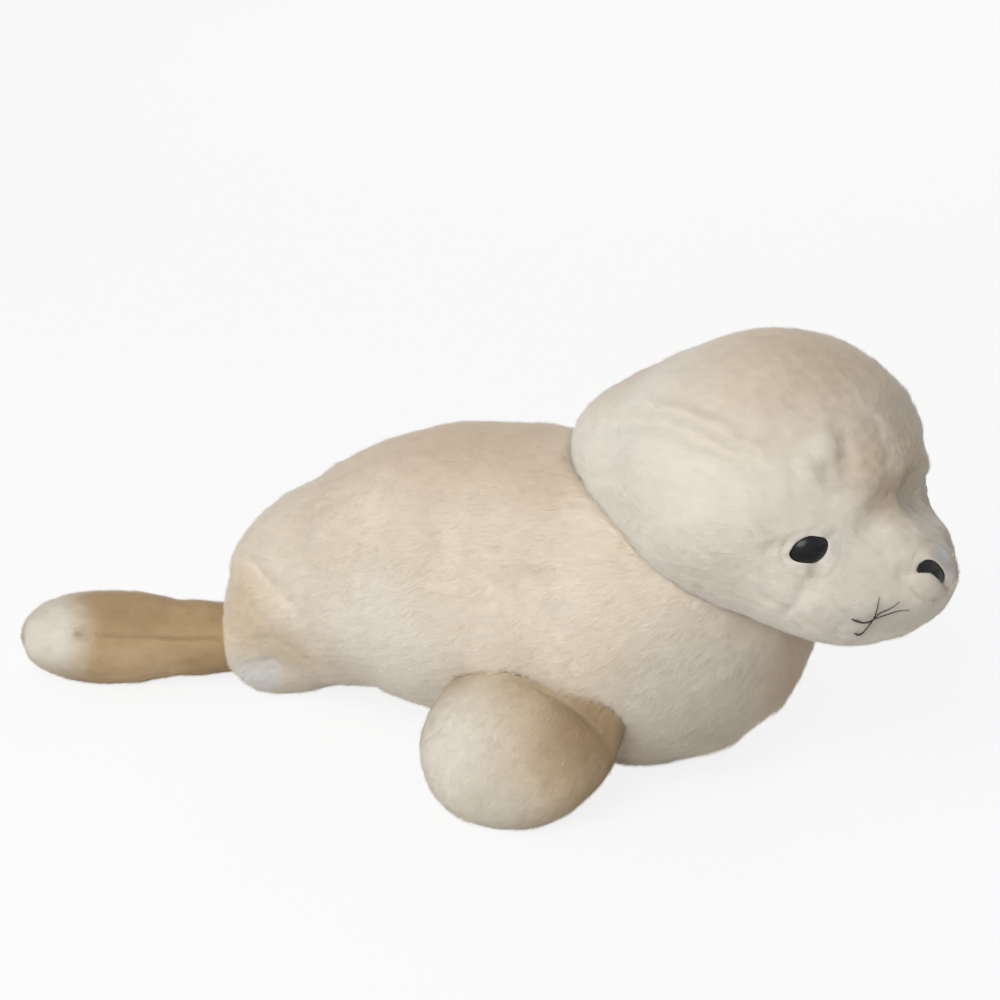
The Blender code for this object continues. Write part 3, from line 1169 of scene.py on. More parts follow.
@dataclass
class Head(Pouch):
    """The head pouch, which looks a little to the seal's right."""

    neck: tuple[float, float] = (0.1092, 0.0)
    turn: float = -12.0
    middle: float = 0.1470
    nape: tuple[Point, Point] = ((0.0215, 0.0, 0.1540), (0.0805, 0.0575, 0.0545))
    brow: tuple[Point, Point] = ((0.0515, 0.0, 0.1645), (0.0705, 0.0790, 0.0665))
    muzzle: tuple[Point, Point] = ((0.0945, 0.0, 0.1260), (0.0520, 0.0520, 0.0370))
    seats: list["ButtonSeat"] = field(default_factory=list)
    whole: BVHTree | None = None  # the cloth before its pits
    clipping: tuple[float, float, float] = (0.085, 0.050, 0.45)    # from, to and how much, at the muzzle
    parting: tuple[float, float, float] = (2.4, 1.3, 0.35)         # the same in rings round a button
    turning: tuple[float, float] = (0.115, 0.040)                  # from the muzzle, where the pile turns
    nose_reach: float = 0.045     # from the muzzle's middle to where its pile parts
    back_rise: float = 0.10

    def point(self, local: Point) -> Point:
        """Place of (reach from the neck, sideways, height) in the frame."""
        turn = math.radians(self.turn)
        reach, side, height = local
        x = self.neck[0] + reach * math.cos(turn) - side * math.sin(turn)
        y = self.neck[1] + reach * math.sin(turn) + side * math.cos(turn)
        return (x, y, height)

    def ahead(self) -> np.ndarray:
        """Unit direction that the head looks in."""
        turn = math.radians(self.turn)
        return np.array([math.cos(turn), math.sin(turn), 0.0])

    def form(self) -> Form:
        """The head's round form."""
        turn = (0.0, 0.0, self.turn)
        lobes = [Lobe(self.point(at), half, turn) for at, half in (self.nape, self.brow, self.muzzle)]
        return Form(lobes, self.point((self.brow[0][0], 0.0, self.middle)), self.brow[1], turn)

    def mirror(self) -> Plane:
        """The plane through the nose and the nape."""
        return Plane(self.neck, self.turn)

    def covers(self) -> list[Form]:
        """The body hides the fur under the head."""
        return [BODY_POUCH.form()]

    def strokes(self) -> list[Stroke]:
        """Crown seam, brow notch, forehead ruffles, cheeks and the folds round the eye."""
        return [
            Stroke(((604, 411), (651, 407), (672, 409), (706, 423), (730, 436), (769, 455)), 0.0032, 0.0038),
            Stroke(((612, 424), (655, 420), (695, 434), (732, 452), (778, 470)), -0.0036, 0.0060),
            Stroke(((829, 445),), 0.0020, 0.0065, Mirroring.SEEN),
            Stroke(((820, 466), (812, 487)), 0.0020, 0.0050, Mirroring.SEEN),
            Stroke(((845, 440), (851, 462), (853, 484)), -0.0020, 0.0050, Mirroring.SEEN),
            Stroke(((800, 455), (803, 480)), -0.0010, 0.0060, Mirroring.SEEN),
            Stroke(((914, 490), (898, 502), (885, 514), (874, 528), (863, 541)), -0.0040, 0.0090),
            Stroke(((925, 452), (927, 466), (928, 478)), 0.0030, 0.0095, Mirroring.SEEN),
            Stroke(((920, 498), (928, 493), (929, 499)), -0.0052, 0.0095, Mirroring.SEEN, blunt=True),
            Stroke(((817, 562), (812, 581), (803, 600), (790, 619)), -0.0026, 0.0042),
            Stroke(((834, 585), (826, 604), (815, 622)), 0.0012, 0.0110),
            Stroke(((784, 585), (770, 600)), 0.0012, 0.0100),
            Stroke(((778, 540), (781, 556)), -0.0020, 0.0050),
            Stroke(((927, 592),), 0.0022, 0.0110),
            Stroke(((900, 578), (912, 573)), -0.0016, 0.0035),
        ]

    def fit(self, skin: Skin) -> None:
        """Sink a pit for each button, with soft sides."""
        self.whole = skin.tree()
        for seat in self.seats:
            skin.move(seat.pitted(skin.points))

    def cover(self, skin: Skin) -> np.ndarray:
        """The pits stay bare, because the lids cover them."""
        share = super().cover(skin)
        for seat in self.seats:
            share *= np.where(seat.ring(skin.points) < seat.bare_end, 0.0, 1.0)
        return share

    def from_muzzle(self, skin: Skin) -> np.ndarray:
        """Distance of each corner from the muzzle's middle."""
        return np.linalg.norm(skin.points - np.array(self.point(self.muzzle[0])), axis=-1)

    def lengths(self, skin: Skin) -> np.ndarray:
        """Shorter on the muzzle and round the buttons."""
        start, end, much = self.clipping
        share = 1.0 - much * smooth(start, end, self.from_muzzle(skin))
        start, end, much = self.parting
        for seat in self.seats:
            share *= 1.0 - much * smooth(start, end, seat.ring(skin.points))
        return share

    def lay(self, skin: Skin) -> np.ndarray:
        """The pile runs back from the nose, up over the brow and down at the nape."""
        reach, _, height = self.muzzle[0]
        away = unit(skin.points - np.array(self.point((reach + self.nose_reach, 0.0, height))))
        back = -self.ahead() + np.array([0.0, 0.0, self.back_rise])
        share = smooth(*self.turning, self.from_muzzle(skin))
        return back * (1.0 - share[:, None]) + away * share[:, None]


@dataclass
class FrontFlipper(Pouch):
    """A front flipper, sewn against the body's side; side is -1 on the seal's right."""

    side: int = -1
    pad: tuple[Point, Point] = ((0.0562, 0.0865, 0.0295), (0.0456, 0.0420, 0.0270))
    shoulder: tuple[Point, Point] = ((0.0679, 0.0788, 0.0402), (0.0443, 0.0534, 0.0240))
    slope: float = 40.0
    rearward: float = 0.35        # of the pile

    def form(self) -> Form:
        """The flipper's round form."""
        turn = (-self.side * self.slope, 0.0, 0.0)
        rows = (self.pad, self.shoulder)
        lobes = [Lobe((at[0], self.side * at[1], at[2]), half, turn) for at, half in rows]
        return Form(lobes, lobes[0].centre, self.pad[1], turn)

    def twin(self) -> "FrontFlipper":
        """The flipper on the seal's right, which the photograph shows."""
        return replace(self, side=-1)

    def neighbours(self) -> list[Form]:
        """The body, which the flipper is sewn to."""
        return [BODY_POUCH.form()]

    def strokes(self) -> list[Stroke]:
        """The fold behind the rim, the ridge down the pad, and the crease at the rear edge."""
        return [
            Stroke(((512, 664), (545, 684), (572, 701), (596, 720), (613, 742)), -0.0036, 0.0042),
            Stroke(((530, 657), (565, 674), (598, 696), (624, 722)), 0.0022, 0.0060),
            Stroke(((505, 690), (540, 708), (570, 728), (592, 752)), 0.0018, 0.0090),
            Stroke(((500, 705), (512, 735), (523, 766)), 0.0010, 0.0060),
            Stroke(((422, 738), (434, 727), (451, 715)), -0.0012, 0.0035),
            Stroke(((553, 775), (563, 782)), -0.0014, 0.0040),
        ]

    def relief(self, points: np.ndarray, form: Form) -> np.ndarray:
        """Relief of the flipper; the left one mirrors what the photograph shows of the right one."""
        if self.side > 0:
            flip = np.array([1.0, -1.0, 1.0])
            return self.twin().relief(points * flip, self.twin().form())
        total = self.swell * Ripples(self.swell_length, self.seed)(points)
        for stroke in self.strokes():
            total += stroke.heights(points, stroke.route(form))
        return total

    def spots(self) -> list[tuple[Patch, Point]]:
        """The patches of the right flipper, or their mirror image."""
        form = self.twin().form()
        found = [(patch, CAMERA.spot(form, patch.pixel)) for patch in self.patches]
        return [(patch, (middle[0], -self.side * middle[1], middle[2])) for patch, middle in found]

    def lay(self, skin: Skin) -> np.ndarray:
        """The pile runs from the body out to the flipper's edge and a little to the rear."""
        slope = math.radians(self.slope)
        out = np.array([-self.rearward, self.side * math.cos(slope), -math.sin(slope)])
        return np.tile(out, (len(skin.points), 1))


@dataclass
class TailFlipper(Pouch):
    """The tail flipper, sewn to the rump; its tip swings to the seal's right."""

    root: Point = (-0.1308, -0.0080, 0.0)
    turn: float = 23.0
    wrist: tuple[Point, Point] = ((-0.0350, 0.0, 0.0210), (0.0486, 0.0248, 0.0198))
    paddle: tuple[Point, Point] = ((-0.0813, 0.0, 0.0210), (0.0515, 0.0330, 0.0250))
    downhill: float = 0.1         # of the pile

    def form(self) -> Form:
        """The tail's round form."""
        turn = (0.0, 0.0, self.turn)
        swing = Euler((0.0, 0.0, math.radians(self.turn))).to_matrix()
        rows = (self.wrist, self.paddle)
        lobes = [Lobe(tuple(Vector(self.root) + swing @ Vector(at)), half, turn) for at, half in rows]
        heart = tuple((Vector(lobes[0].centre) + Vector(lobes[1].centre)) / 2.0)
        return Form(lobes, heart, self.paddle[1], turn)

    def mirror(self) -> Plane:
        """The plane along the tail."""
        return Plane(self.root[:2], self.turn)

    def neighbours(self) -> list[Form]:
        """The body, which the tail is sewn to."""
        return [BODY_POUCH.form()]

    def strokes(self) -> list[Stroke]:
        """The side seam and the dimple at its end."""
        return [
            Stroke(((104, 634), (140, 636), (180, 638), (226, 638)), -0.0017, 0.0015, blunt=True),
            Stroke(((86, 630),), -0.0048, 0.0040),
            Stroke(((18, 638),), -0.0040, 0.0110, Mirroring.SEEN),
            Stroke(((104, 612), (100, 634), (108, 656)), 0.0006, 0.0070, Mirroring.SEEN),
        ]

    def lay(self, skin: Skin) -> np.ndarray:
        """The pile runs from the rump to the tip."""
        turn = math.radians(self.turn)
        return np.tile(np.array([-math.cos(turn), -math.sin(turn), -self.downhill]), (len(skin.points), 1))


CREAM = tone(226, 217, 203)
CREAM_DEEP = tone(212, 198, 176)
WHITE = tone(227, 222, 212)
WHITE_DEEP = tone(214, 206, 193)
TAN = tone(209, 194, 169)
TAN_DEEP = tone(166, 145, 116)
TAIL = tone(192, 168, 132)
TAIL_DEEP = tone(173, 150, 117)
PALE = tone(231, 229, 221)
# bluish white; beside the nose and eye it stands for painted bluish light
COOL = tone(222, 226, 230)
ASH = tone(210, 206, 196)
# painted shade: warm darkening laid on tops, far edges and the neck, where less light falls
SHADE_BEIGE = tone(209, 192, 171)
PEACH = tone(214, 196, 166)
# painted shade for the inside of a dimple
DIMPLE_SHADE_BROWN = tone(168, 142, 116)
SHADY = tone(150, 128, 106)
# painted light: lightens an underside that lies in shade
UNDERSIDE_LIGHT_SAND = tone(214, 192, 158)

FLIPPER_PATCHES = (
    # paler outer tip: partly the fur's own paler tip, partly painted light on the side facing the light
    Patch((438, 752), 0.008, 0.060, PALE, 0.95),
    # darker tan near the body: partly the fur's own tan, partly painted shade on the side turned from the
    # light
    Patch((594, 733), 0.006, 0.040, TAN_DEEP, 0.95),
    # painted shade on the underside of the flipper's tip
    Patch((500, 818), 0.004, 0.034, ASH, 0.75),
)

TAIL_PATCHES = (
    Patch((42, 632), 0.010, 0.038, PALE, 0.95),
    # painted shade in the dimple at the end of the tail's seam
    Patch((84, 631), 0.001, 0.0065, DIMPLE_SHADE_BROWN, 0.8),
    # painted light on the shaded underside of the tail
    Patch((140, 680), 0.012, 0.034, UNDERSIDE_LIGHT_SAND, 0.75),
)

HEAD_PATCHES = (
    # painted shade on the top of the head
    Patch((770, 358), 0.022, 0.070, SHADE_BEIGE, 0.55),
    # painted shade on the far brow edge and in the brow notch, in this patch and the next
    Patch((912, 440), 0.004, 0.026, SHADE_BEIGE, 0.6),
    Patch((914, 486), 0.004, 0.018, SHADE_BEIGE, 0.6),
    # painted bluish light on the fur beside the nose, on the seen side only, in this patch and the next
    Patch((944, 556), 0.003, 0.011, COOL, 0.95, Mirroring.SEEN),
    Patch((950, 573), 0.002, 0.008, COOL, 0.8, Mirroring.SEEN),
    Patch((905, 570), 0.001, 0.009, SHADY, 0.35),
    # painted bluish light on the fur beside the eye
    Patch((832, 545), 0.002, 0.010, COOL, 0.3),
    Patch((814, 570), 0.002, 0.006, SHADY, 0.4),
    Patch((811, 583), 0.002, 0.007, SHADY, 0.3),
    # painted highlight on the lit forehead ruffle, on the seen side only
    Patch((818, 446), 0.002, 0.012, PALE, 0.6, Mirroring.SEEN),
    # painted shade on the top of the head's back
    Patch((640, 366), 0.010, 0.050, SHADE_BEIGE, 0.4),
    Patch((862, 600), 0.012, 0.044, ASH, 0.75),
)

BODY_PATCHES = (
    # painted shade on the top of the body, in this patch and the next
    Patch((480, 428), 0.020, 0.075, SHADE_BEIGE, 0.6),
    Patch((340, 470), 0.010, 0.050, SHADE_BEIGE, 0.4),
    Patch((242, 612), 0.008, 0.034, PEACH, 0.7),
    Patch((254, 680), 0.006, 0.020, COOL, 0.7),
    Patch((288, 652), 0.004, 0.024, TAN, 0.75),
    Patch((700, 700), 0.020, 0.065, ASH, 0.75),
    # painted shade on the chest's far edge
    Patch((800, 665), 0.010, 0.050, SHADE_BEIGE, 0.45),
    # painted shade on the body by the neck, under the head
    Patch((545, 478), 0.008, 0.034, SHADE_BEIGE, 0.6),
    Patch((385, 650), 0.015, 0.060, PALE, 0.5),
)

HEAD = Head("head", "white_fur", fill=0.85, squares=84, strands=250000, seed=200,
            finish=FurFinish(WHITE, WHITE_DEEP), patches=HEAD_PATCHES)
BODY_POUCH = Body("body", "cream_fur", fill=0.85, squares=76, strands=275000, seed=100,
                  finish=FurFinish(CREAM, CREAM_DEEP), patches=BODY_PATCHES)


@dataclass
class ButtonSeat:
    """Where a button sits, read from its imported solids: +X level, +Y up and +Z out of the cloth."""

    node: str
    washer: str
    half: tuple[float, float]
    dome: float
    roll: float
    nudge: Point = (0.0, 0.0, 0.0)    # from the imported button, in the seat's axes
    rim: float = 0.0010
    pit_room: float = 0.0007
    pit_full: float = 1.06        # of the button's outline
    pit_end: float = 1.34
    bare_end: float = 1.22        # no long fur grows inside it
    reach: float = 0.015          # above and below the button, where the cloth belongs to its seat

    def __post_init__(self) -> None:
        """Work out the seat's place and axes from the button's and the washer's solids."""
        button = self.corners(self.node)
        behind = self.corners(self.washer).mean(0)
        out = unit(button.mean(0) - behind)
        top = ((button - behind) @ out).max()
        self.origin = behind + out * (top - self.dome)
        level = unit(np.cross([0.0, 0.0, 1.0], out))
        up = np.cross(out, level)
        roll = math.radians(self.roll)
        self.axes = np.stack([
            level * math.cos(roll) + up * math.sin(roll),
            up * math.cos(roll) - level * math.sin(roll),
            out,
        ])
        self.origin = self.world(np.array(self.nudge))

    @staticmethod
    def corners(node: str) -> np.ndarray:
        """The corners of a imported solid."""
        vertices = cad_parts[node].data.vertices
        found = np.empty(len(vertices) * 3)
        vertices.foreach_get("co", found)
        return found.reshape(-1, 3)

    def local(self, points: np.ndarray) -> np.ndarray:
        """Points of the frame in the seat's axes."""
        return (points - self.origin) @ self.axes.T

    def world(self, points: np.ndarray) -> np.ndarray:
        """Points in the seat's axes, in the frame."""
        return points @ self.axes + self.origin

    def ring(self, points: np.ndarray) -> np.ndarray:
        """How far points lie from the button's middle, where its outline is 1; far below it, infinity."""
        local = self.local(points)
        away = np.hypot(local[:, 0] / self.half[0], local[:, 1] / self.half[1])
        return np.where(np.abs(local[:, 2]) < self.reach, away, np.inf)

    def pitted(self, points: np.ndarray) -> np.ndarray:
        """Push the cloth in under the button."""
        local = self.local(points)
        ring = self.ring(points)
        share = smooth(self.pit_end, self.pit_full, ring)
        deep = np.minimum(local[:, 2], -self.rim - self.pit_room)
        local[:, 2] += (deep - local[:, 2]) * share
        return self.world(local)


@dataclass
class Button:
    """A domed plastic button with its shank."""

    seat: ButtonSeat
    finish: bpy.types.Material
    around: int = 72
    rings: int = 18
    edge: float = 0.0004
    shank_radius: float = 0.0020
    shank_length: float = 0.0140
    barb: float = 0.0003
    barbs: int = 5
    sharp: float = 40.0           # degrees; sharper edges aren't shaded smooth

    def profile(self) -> list[tuple[float, float, float]]:
        """Half width, half height and height of each ring, from the dome down to the shank's end."""
        seat = self.seat
        rows = []
        for i in range(1, self.rings + 1):
            angle = 0.5 * math.pi * i / self.rings
            wide = math.sin(angle)
            rows.append((seat.half[0] * wide, seat.half[1] * wide, seat.dome * math.cos(angle)))
        rows.append((seat.half[0], seat.half[1], -seat.rim + self.edge))
        rows.append((seat.half[0] - self.edge, seat.half[1] - self.edge, -seat.rim))
        rows.append((self.shank_radius, self.shank_radius, -seat.rim))
        step = self.shank_length / self.barbs
        for i in range(self.barbs):
            top = -seat.rim - step * i
            inner = self.shank_radius - self.barb
            rows.append((inner, inner, top - 0.1 * step))
            rows.append((self.shank_radius, self.shank_radius, top - step))
        return rows

    def build(self) -> bpy.types.Object:
        """Turn the profile and put it in its seat."""
        angles = np.linspace(0.0, 2.0 * math.pi, self.around, endpoint=False)
        rows = self.profile()
        flat = np.full(self.around, 1.0)
        rings = [np.stack([a * np.cos(angles), b * np.sin(angles), z * flat], -1) for a, b, z in rows]
        points = np.vstack([[[0.0, 0.0, self.seat.dome]], *rings, [[0.0, 0.0, rows[-1][2]]]])
        last = 1 + (len(rows) - 1) * self.around
        pairs = [(i, (i + 1) % self.around) for i in range(self.around)]
        polygons = [(0, 1 + i, 1 + j) for i, j in pairs]
        for low in range(1, last, self.around):
            polygons += sides_of(self.around, low, low + self.around).tolist()
        polygons += [(last + j, last + i, len(points) - 1) for i, j in pairs]
        node = self.seat.node
        piece = add_part(node, "_button", self.seat.world(points), polygons, self.finish)
        piece.data.set_sharp_from_angle(angle=math.radians(self.sharp))
        return piece


@dataclass
class Lid:
    """The roll of cloth that closes round a button and leaves only its visible shape open."""

    seat: ButtonSeat
    name: str
    opening: tuple[tuple[float, float], ...]   # in half sizes of the button
    margin: float = 0.0066        # past the end of the pit
    roll: float = 0.0005          # height of the rolled lip
    roll_width: float = 0.0008
    clear: float = 0.0004
    around: int = 96
    rings: int = 14
    buried: float = 0.0009
    thick: float = 0.0009
    strands: int = 8000
    seed: int = 900
    ray_height: float = 0.03      # over the seat, where the search for the cloth starts
    pace: float = 1.6             # how the rings crowd at the opening
    lift_fall: float = 2.2        # how fast the lip comes down to the cloth
    sinking: tuple[float, float] = (0.5, 0.9)    # where it sinks into the cloth, as shares of its reach
    edge_length: float = 0.55     # share of the pile's length at the opening
    full_length: float = 0.5      # where the pile has its full length, as a share of the lid's reach
    worn: tuple[float, float] = (0.72, 1.0)   # where its fur gives way to the head's, as shares of its reach

    def outline(self) -> np.ndarray:
        """The opening as a smooth closed line in the seat's plane."""
        knots = np.array(self.opening) * np.array(self.seat.half)
        count = len(knots)
        at = np.linspace(0.0, count, self.around, endpoint=False)
        whole = at.astype(int)
        share = (at - whole)[:, None]
        return bent(tuple(knots[(whole + k) % count] for k in (-1, 0, 1, 2)), share)

    def dome_height(self, flat: np.ndarray) -> np.ndarray:
        """Height of the button over points of the seat's plane, falling steeply past its edge."""
        ring = np.linalg.norm(flat / np.array(self.seat.half), axis=-1)
        dome = self.seat.dome * np.sqrt(np.maximum(1.0 - ring**2, 0.0))
        return dome - 2.0 * self.seat.half[1] * np.maximum(ring - 1.0, 0.0)

    def ground(self, flat: np.ndarray, tree: BVHTree) -> tuple[np.ndarray, np.ndarray]:
        """Find the head's cloth over points of the seat's plane.

        Args:
            flat: Points of the plane, in the seat's axes.
            tree: Search tree over the cloth before its pits.

        Returns:
            The cloth's height and its outward direction at each point, in the seat's axes.
        """
        out = Vector(self.seat.axes[2])
        spots = self.seat.world(np.column_stack([flat, np.full(len(flat), self.ray_height)]))
        hits = [tree.ray_cast(Vector(spot), -out) for spot in spots]
        heights = self.seat.local(np.array([list(hit[0]) for hit in hits]))[:, 2]
        return heights, np.array([list(hit[1]) for hit in hits]) @ self.seat.axes.T

    def build(self, cloth: bpy.types.Object) -> None:
        """Make the lid and its fur.

        Args:
            cloth: The head's cloth, which the lid belongs to.
        """
        tree = HEAD.whole
        edge = self.outline()
        middle = edge.mean(0)
        away = unit(edge - middle)
        oval = np.array(self.seat.half) * self.seat.pit_end + self.margin
        outer = away / np.linalg.norm(away / oval, axis=-1, keepdims=True)
        width = np.linalg.norm(outer - edge, axis=-1)
        shares = np.linspace(0.0, 1.0, self.rings) ** self.pace
        lift = self.dome_height(edge) + self.clear - self.ground(edge, tree)[0]
        rows = []
        for share in shares:
            flat = edge * (1.0 - share) + outer * share
            height, normal = self.ground(flat, tree)
            height += lift * (1.0 - share) ** self.lift_fall
            height += self.roll * (1.0 - np.exp(-share * width / self.roll_width)) * (1.0 - share) ** 2
            row = np.column_stack([flat, np.maximum(height, self.dome_height(flat) + self.clear)])
            rows.append(row - normal * self.buried * smooth(*self.sinking, share))
        under = [rows[-1] - normal * self.thick, rows[1] - [0.0, 0.0, self.thick]]
        under[1][:, 2] = np.maximum(under[1][:, 2], self.dome_height(under[1][:, :2]) + 0.5 * self.clear)
        rows += under
        points = self.seat.world(np.vstack(rows))
        rings = [k * self.around for k in range(len(rows))]
        quads = [sides_of(self.around, low, high) for low, high in zip(rings, rings[1:] + rings[:1])]
        skin = Skin(points, np.vstack(quads))
        if (skin.normals[: self.around * 4] @ self.seat.axes[2]).mean() < 0.0:
            skin = Skin(points, skin.quads[:, ::-1])
        piece = HEAD.add_cloth(self.name, skin.points, skin.quads)
        piece.parent = cloth
        outward = np.vstack([np.column_stack([away, np.zeros(self.around)])] * len(rows)) @ self.seat.axes
        part = np.repeat(np.concatenate([shares, [1.0, 0.0]]), self.around)
        skin.flow = along_skin(outward * (1.0 - part[:, None]) + HEAD.lay(skin) * part[:, None], skin.normals)
        grown = self.edge_length + (1.0 - self.edge_length) * smooth(0.0, self.full_length, part)
        skin.length = HEAD.lengths(skin) * grown
        share = smooth(self.worn[1], self.worn[0], part)
        share[self.around * self.rings:] = 0.0
        Fur(HEAD, skin, self.seed + len(self.name)).build(self.name + "_pile", self.strands, share, piece)


EYE_OPENING = ((-0.95, 0.04), (-0.84, 0.34), (-0.56, 0.68), (-0.14, 0.86), (0.26, 0.84), (0.78, 0.50),
               (0.94, 0.12), (0.82, -0.28), (0.50, -0.68), (0.16, -0.86), (-0.24, -0.70), (-0.70, -0.46),
               (-0.90, -0.24))
NOSE_OPENING = ((-0.93, 0.32), (-0.74, 0.62), (-0.42, 0.70), (-0.14, 0.52), (0.06, 0.24), (0.26, -0.10),
                (0.44, -0.46), (0.46, -0.82), (0.18, -0.80), (-0.16, -0.36), (-0.52, 0.06), (-0.78, 0.20))


@dataclass
class Whisker:
    """A two-ply black thread that comes out of the cheek and lies over the fur."""

    node: str
    pixels: tuple[Pixel, ...]
    mirrored: bool
    layer: int                    # how many threads it may lie on
    ply: float = 0.00021
    set_back: float = 46.0        # pixels that a mirrored thread lies farther from the nose
    twist: float = 0.0034
    lean_up: float = 0.3          # of the direction that the plies are laid out from
    loose: float = 0.9            # how far the plies part at the tip, as a share of their radius
    thick_root: float = 0.9       # how much thicker the root is
    thin_tip: float = 0.5         # how much thinner the tip is
    lift: float = 0.0019
    layer_height: float = 0.0008
    start_depth: float = 0.0015
    rings: int = 90
    sides: int = 7

    def route(self, tree: BVHTree) -> np.ndarray:
        """Lay the thread on the cheek.

        Args:
            tree: Search tree over the head's cloth.

        Returns:
            Points along the thread.
        """
        knots = []
        for i, pixel in enumerate(self.pixels):
            origin, heading = CAMERA.sight((pixel[0] - self.set_back * self.mirrored, pixel[1]))
            if self.mirrored:
                far = HEAD.mirror().mirrored(np.stack([origin, origin + heading]))
                origin, heading = far[0], far[1] - far[0]
            point, normal, _, _ = tree.ray_cast(Vector(origin), Vector(heading))
            rise = (self.lift + self.layer_height * self.layer) * min(1.0, 0.55 + 0.25 * i)
            rise = -self.start_depth if i == 0 else rise
            knots.append(np.array(point) + np.array(normal) * rise)
        knots = np.array(knots)
        padded = with_ends(knots)
        at = np.linspace(0.0, len(knots) - 1.0, self.rings)
        whole = np.minimum(at.astype(int), len(knots) - 2)
        return bent(tuple(padded[whole + k] for k in range(4)), (at - whole)[:, None])

    def build(self, tree: BVHTree, finish: bpy.types.Material) -> None:
        """Twist two plies along the route.

        Args:
            tree: Search tree over the head's cloth.
            finish: The thread's material.
        """
        centre = self.route(tree)
        ahead = unit(np.gradient(centre, axis=0))
        side = unit(np.cross(ahead, HEAD.ahead() + np.array([0.0, 0.0, self.lean_up])))
        other = np.cross(ahead, side)
        run = np.concatenate([[0.0], np.cumsum(np.linalg.norm(np.diff(centre, axis=0), axis=1))])
        part = run / run[-1]
        spread = self.ply * (0.75 + self.loose * smooth(0.8, 1.0, part))
        thick = self.ply * (1.0 + self.thick_root * smooth(0.42, 0.10, part))
        thick *= 1.0 - self.thin_tip * smooth(0.6, 1.0, part)
        turn = 2.0 * math.pi * np.arange(self.sides) / self.sides
        points = []
        faces = []
        for ply in (0.0, math.pi):
            angle = 2.0 * math.pi * run / self.twist + ply
            off = side * np.cos(angle)[:, None] + other * np.sin(angle)[:, None]
            axis = centre + off * spread[:, None]
            start = len(points) * self.rings * self.sides
            rim = np.cos(turn)[None, :, None] * side[:, None] + np.sin(turn)[None, :, None] * other[:, None]
            points.append((axis[:, None] + rim * thick[:, None, None]).reshape(-1, 3))
            last = start + (self.rings - 1) * self.sides
            for low in range(start, last, self.sides):
                faces += sides_of(self.sides, low, low + self.sides)[:, [0, 3, 2, 1]].tolist()
            faces.append(tuple(range(start, start + self.sides))[::-1])
            faces.append(tuple(range(last, last + self.sides)))
        add_part(self.node, "_thread", np.vstack(points), faces, finish)


WHISKER_LINES = (
    ((850, 634), (859, 632), (867, 624), (874, 613), (878, 596)),
    ((848, 619), (858, 619), (869, 618), (877, 611), (888, 606), (897, 600)),
    ((853, 621), (863, 619), (874, 614), (886, 610), (896, 607), (906, 606)),
)


class Face:
    """Eyes, nose, their washers and the whiskers."""

    def __init__(self) -> None:
        """Read the seats and make the finishes."""
        eye = {"half": (0.0098, 0.0078), "dome": 0.0062}
        nose = {"half": (0.0135, 0.0100), "dome": 0.0056}
        self.seats = [
            ButtonSeat("eye_right", "eye_washer_right", roll=14.0, nudge=(0.0010, -0.0012, -0.0018), **eye),
            ButtonSeat("eye_left", "eye_washer_left", roll=-14.0, nudge=(-0.0008, -0.0008, -0.0020), **eye),
            ButtonSeat("nose", "nose_washer", roll=0.0, nudge=(-0.0022, -0.0008, -0.0034), **nose),
        ]
        self.gloss = PlasticFinish("gloss_black", tone(13, 14, 17), tone(26, 27, 31), roughness=0.26,
                                   scuff_roughness=0.38, coat=0.10, gloss=0.22).material()
        self.washer = PlasticFinish("washer_plastic", tone(226, 226, 221), tone(208, 207, 200),
                                    roughness=0.42, scuff_roughness=0.6, coat=0.0).material()
        self.thread = ThreadFinish("black_thread", tone(22, 20, 20), tone(78, 72, 68)).material()

    def build(self, cloth: bpy.types.Object) -> None:
        """Make the buttons, lids and whiskers.

        Args:
            cloth: The head's cloth.
        """
        tree = HEAD.skin.tree()
        for seat in self.seats:
            Button(seat, self.gloss).build()
            opening = NOSE_OPENING if seat.node == "nose" else EYE_OPENING
            if seat.node == "eye_left":
                opening = tuple((-a, b) for a, b in reversed(opening))
            Lid(seat, seat.node + "_lid", opening).build(cloth)
            self.dress(seat.washer, self.washer)
        for label in ("right", "left"):
            for number, line in enumerate(WHISKER_LINES, start=1):
                whisker = Whisker(f"whisker_{label}_{number}", line, label == "left", number - 1)
                whisker.build(tree, self.thread)

    @staticmethod
    def dress(node: str, material: bpy.types.Material) -> None:
        """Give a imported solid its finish."""
        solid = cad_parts[node]
        if not solid.material_slots:
            solid.data.materials.append(None)
        for slot in solid.material_slots:
            slot.material = material


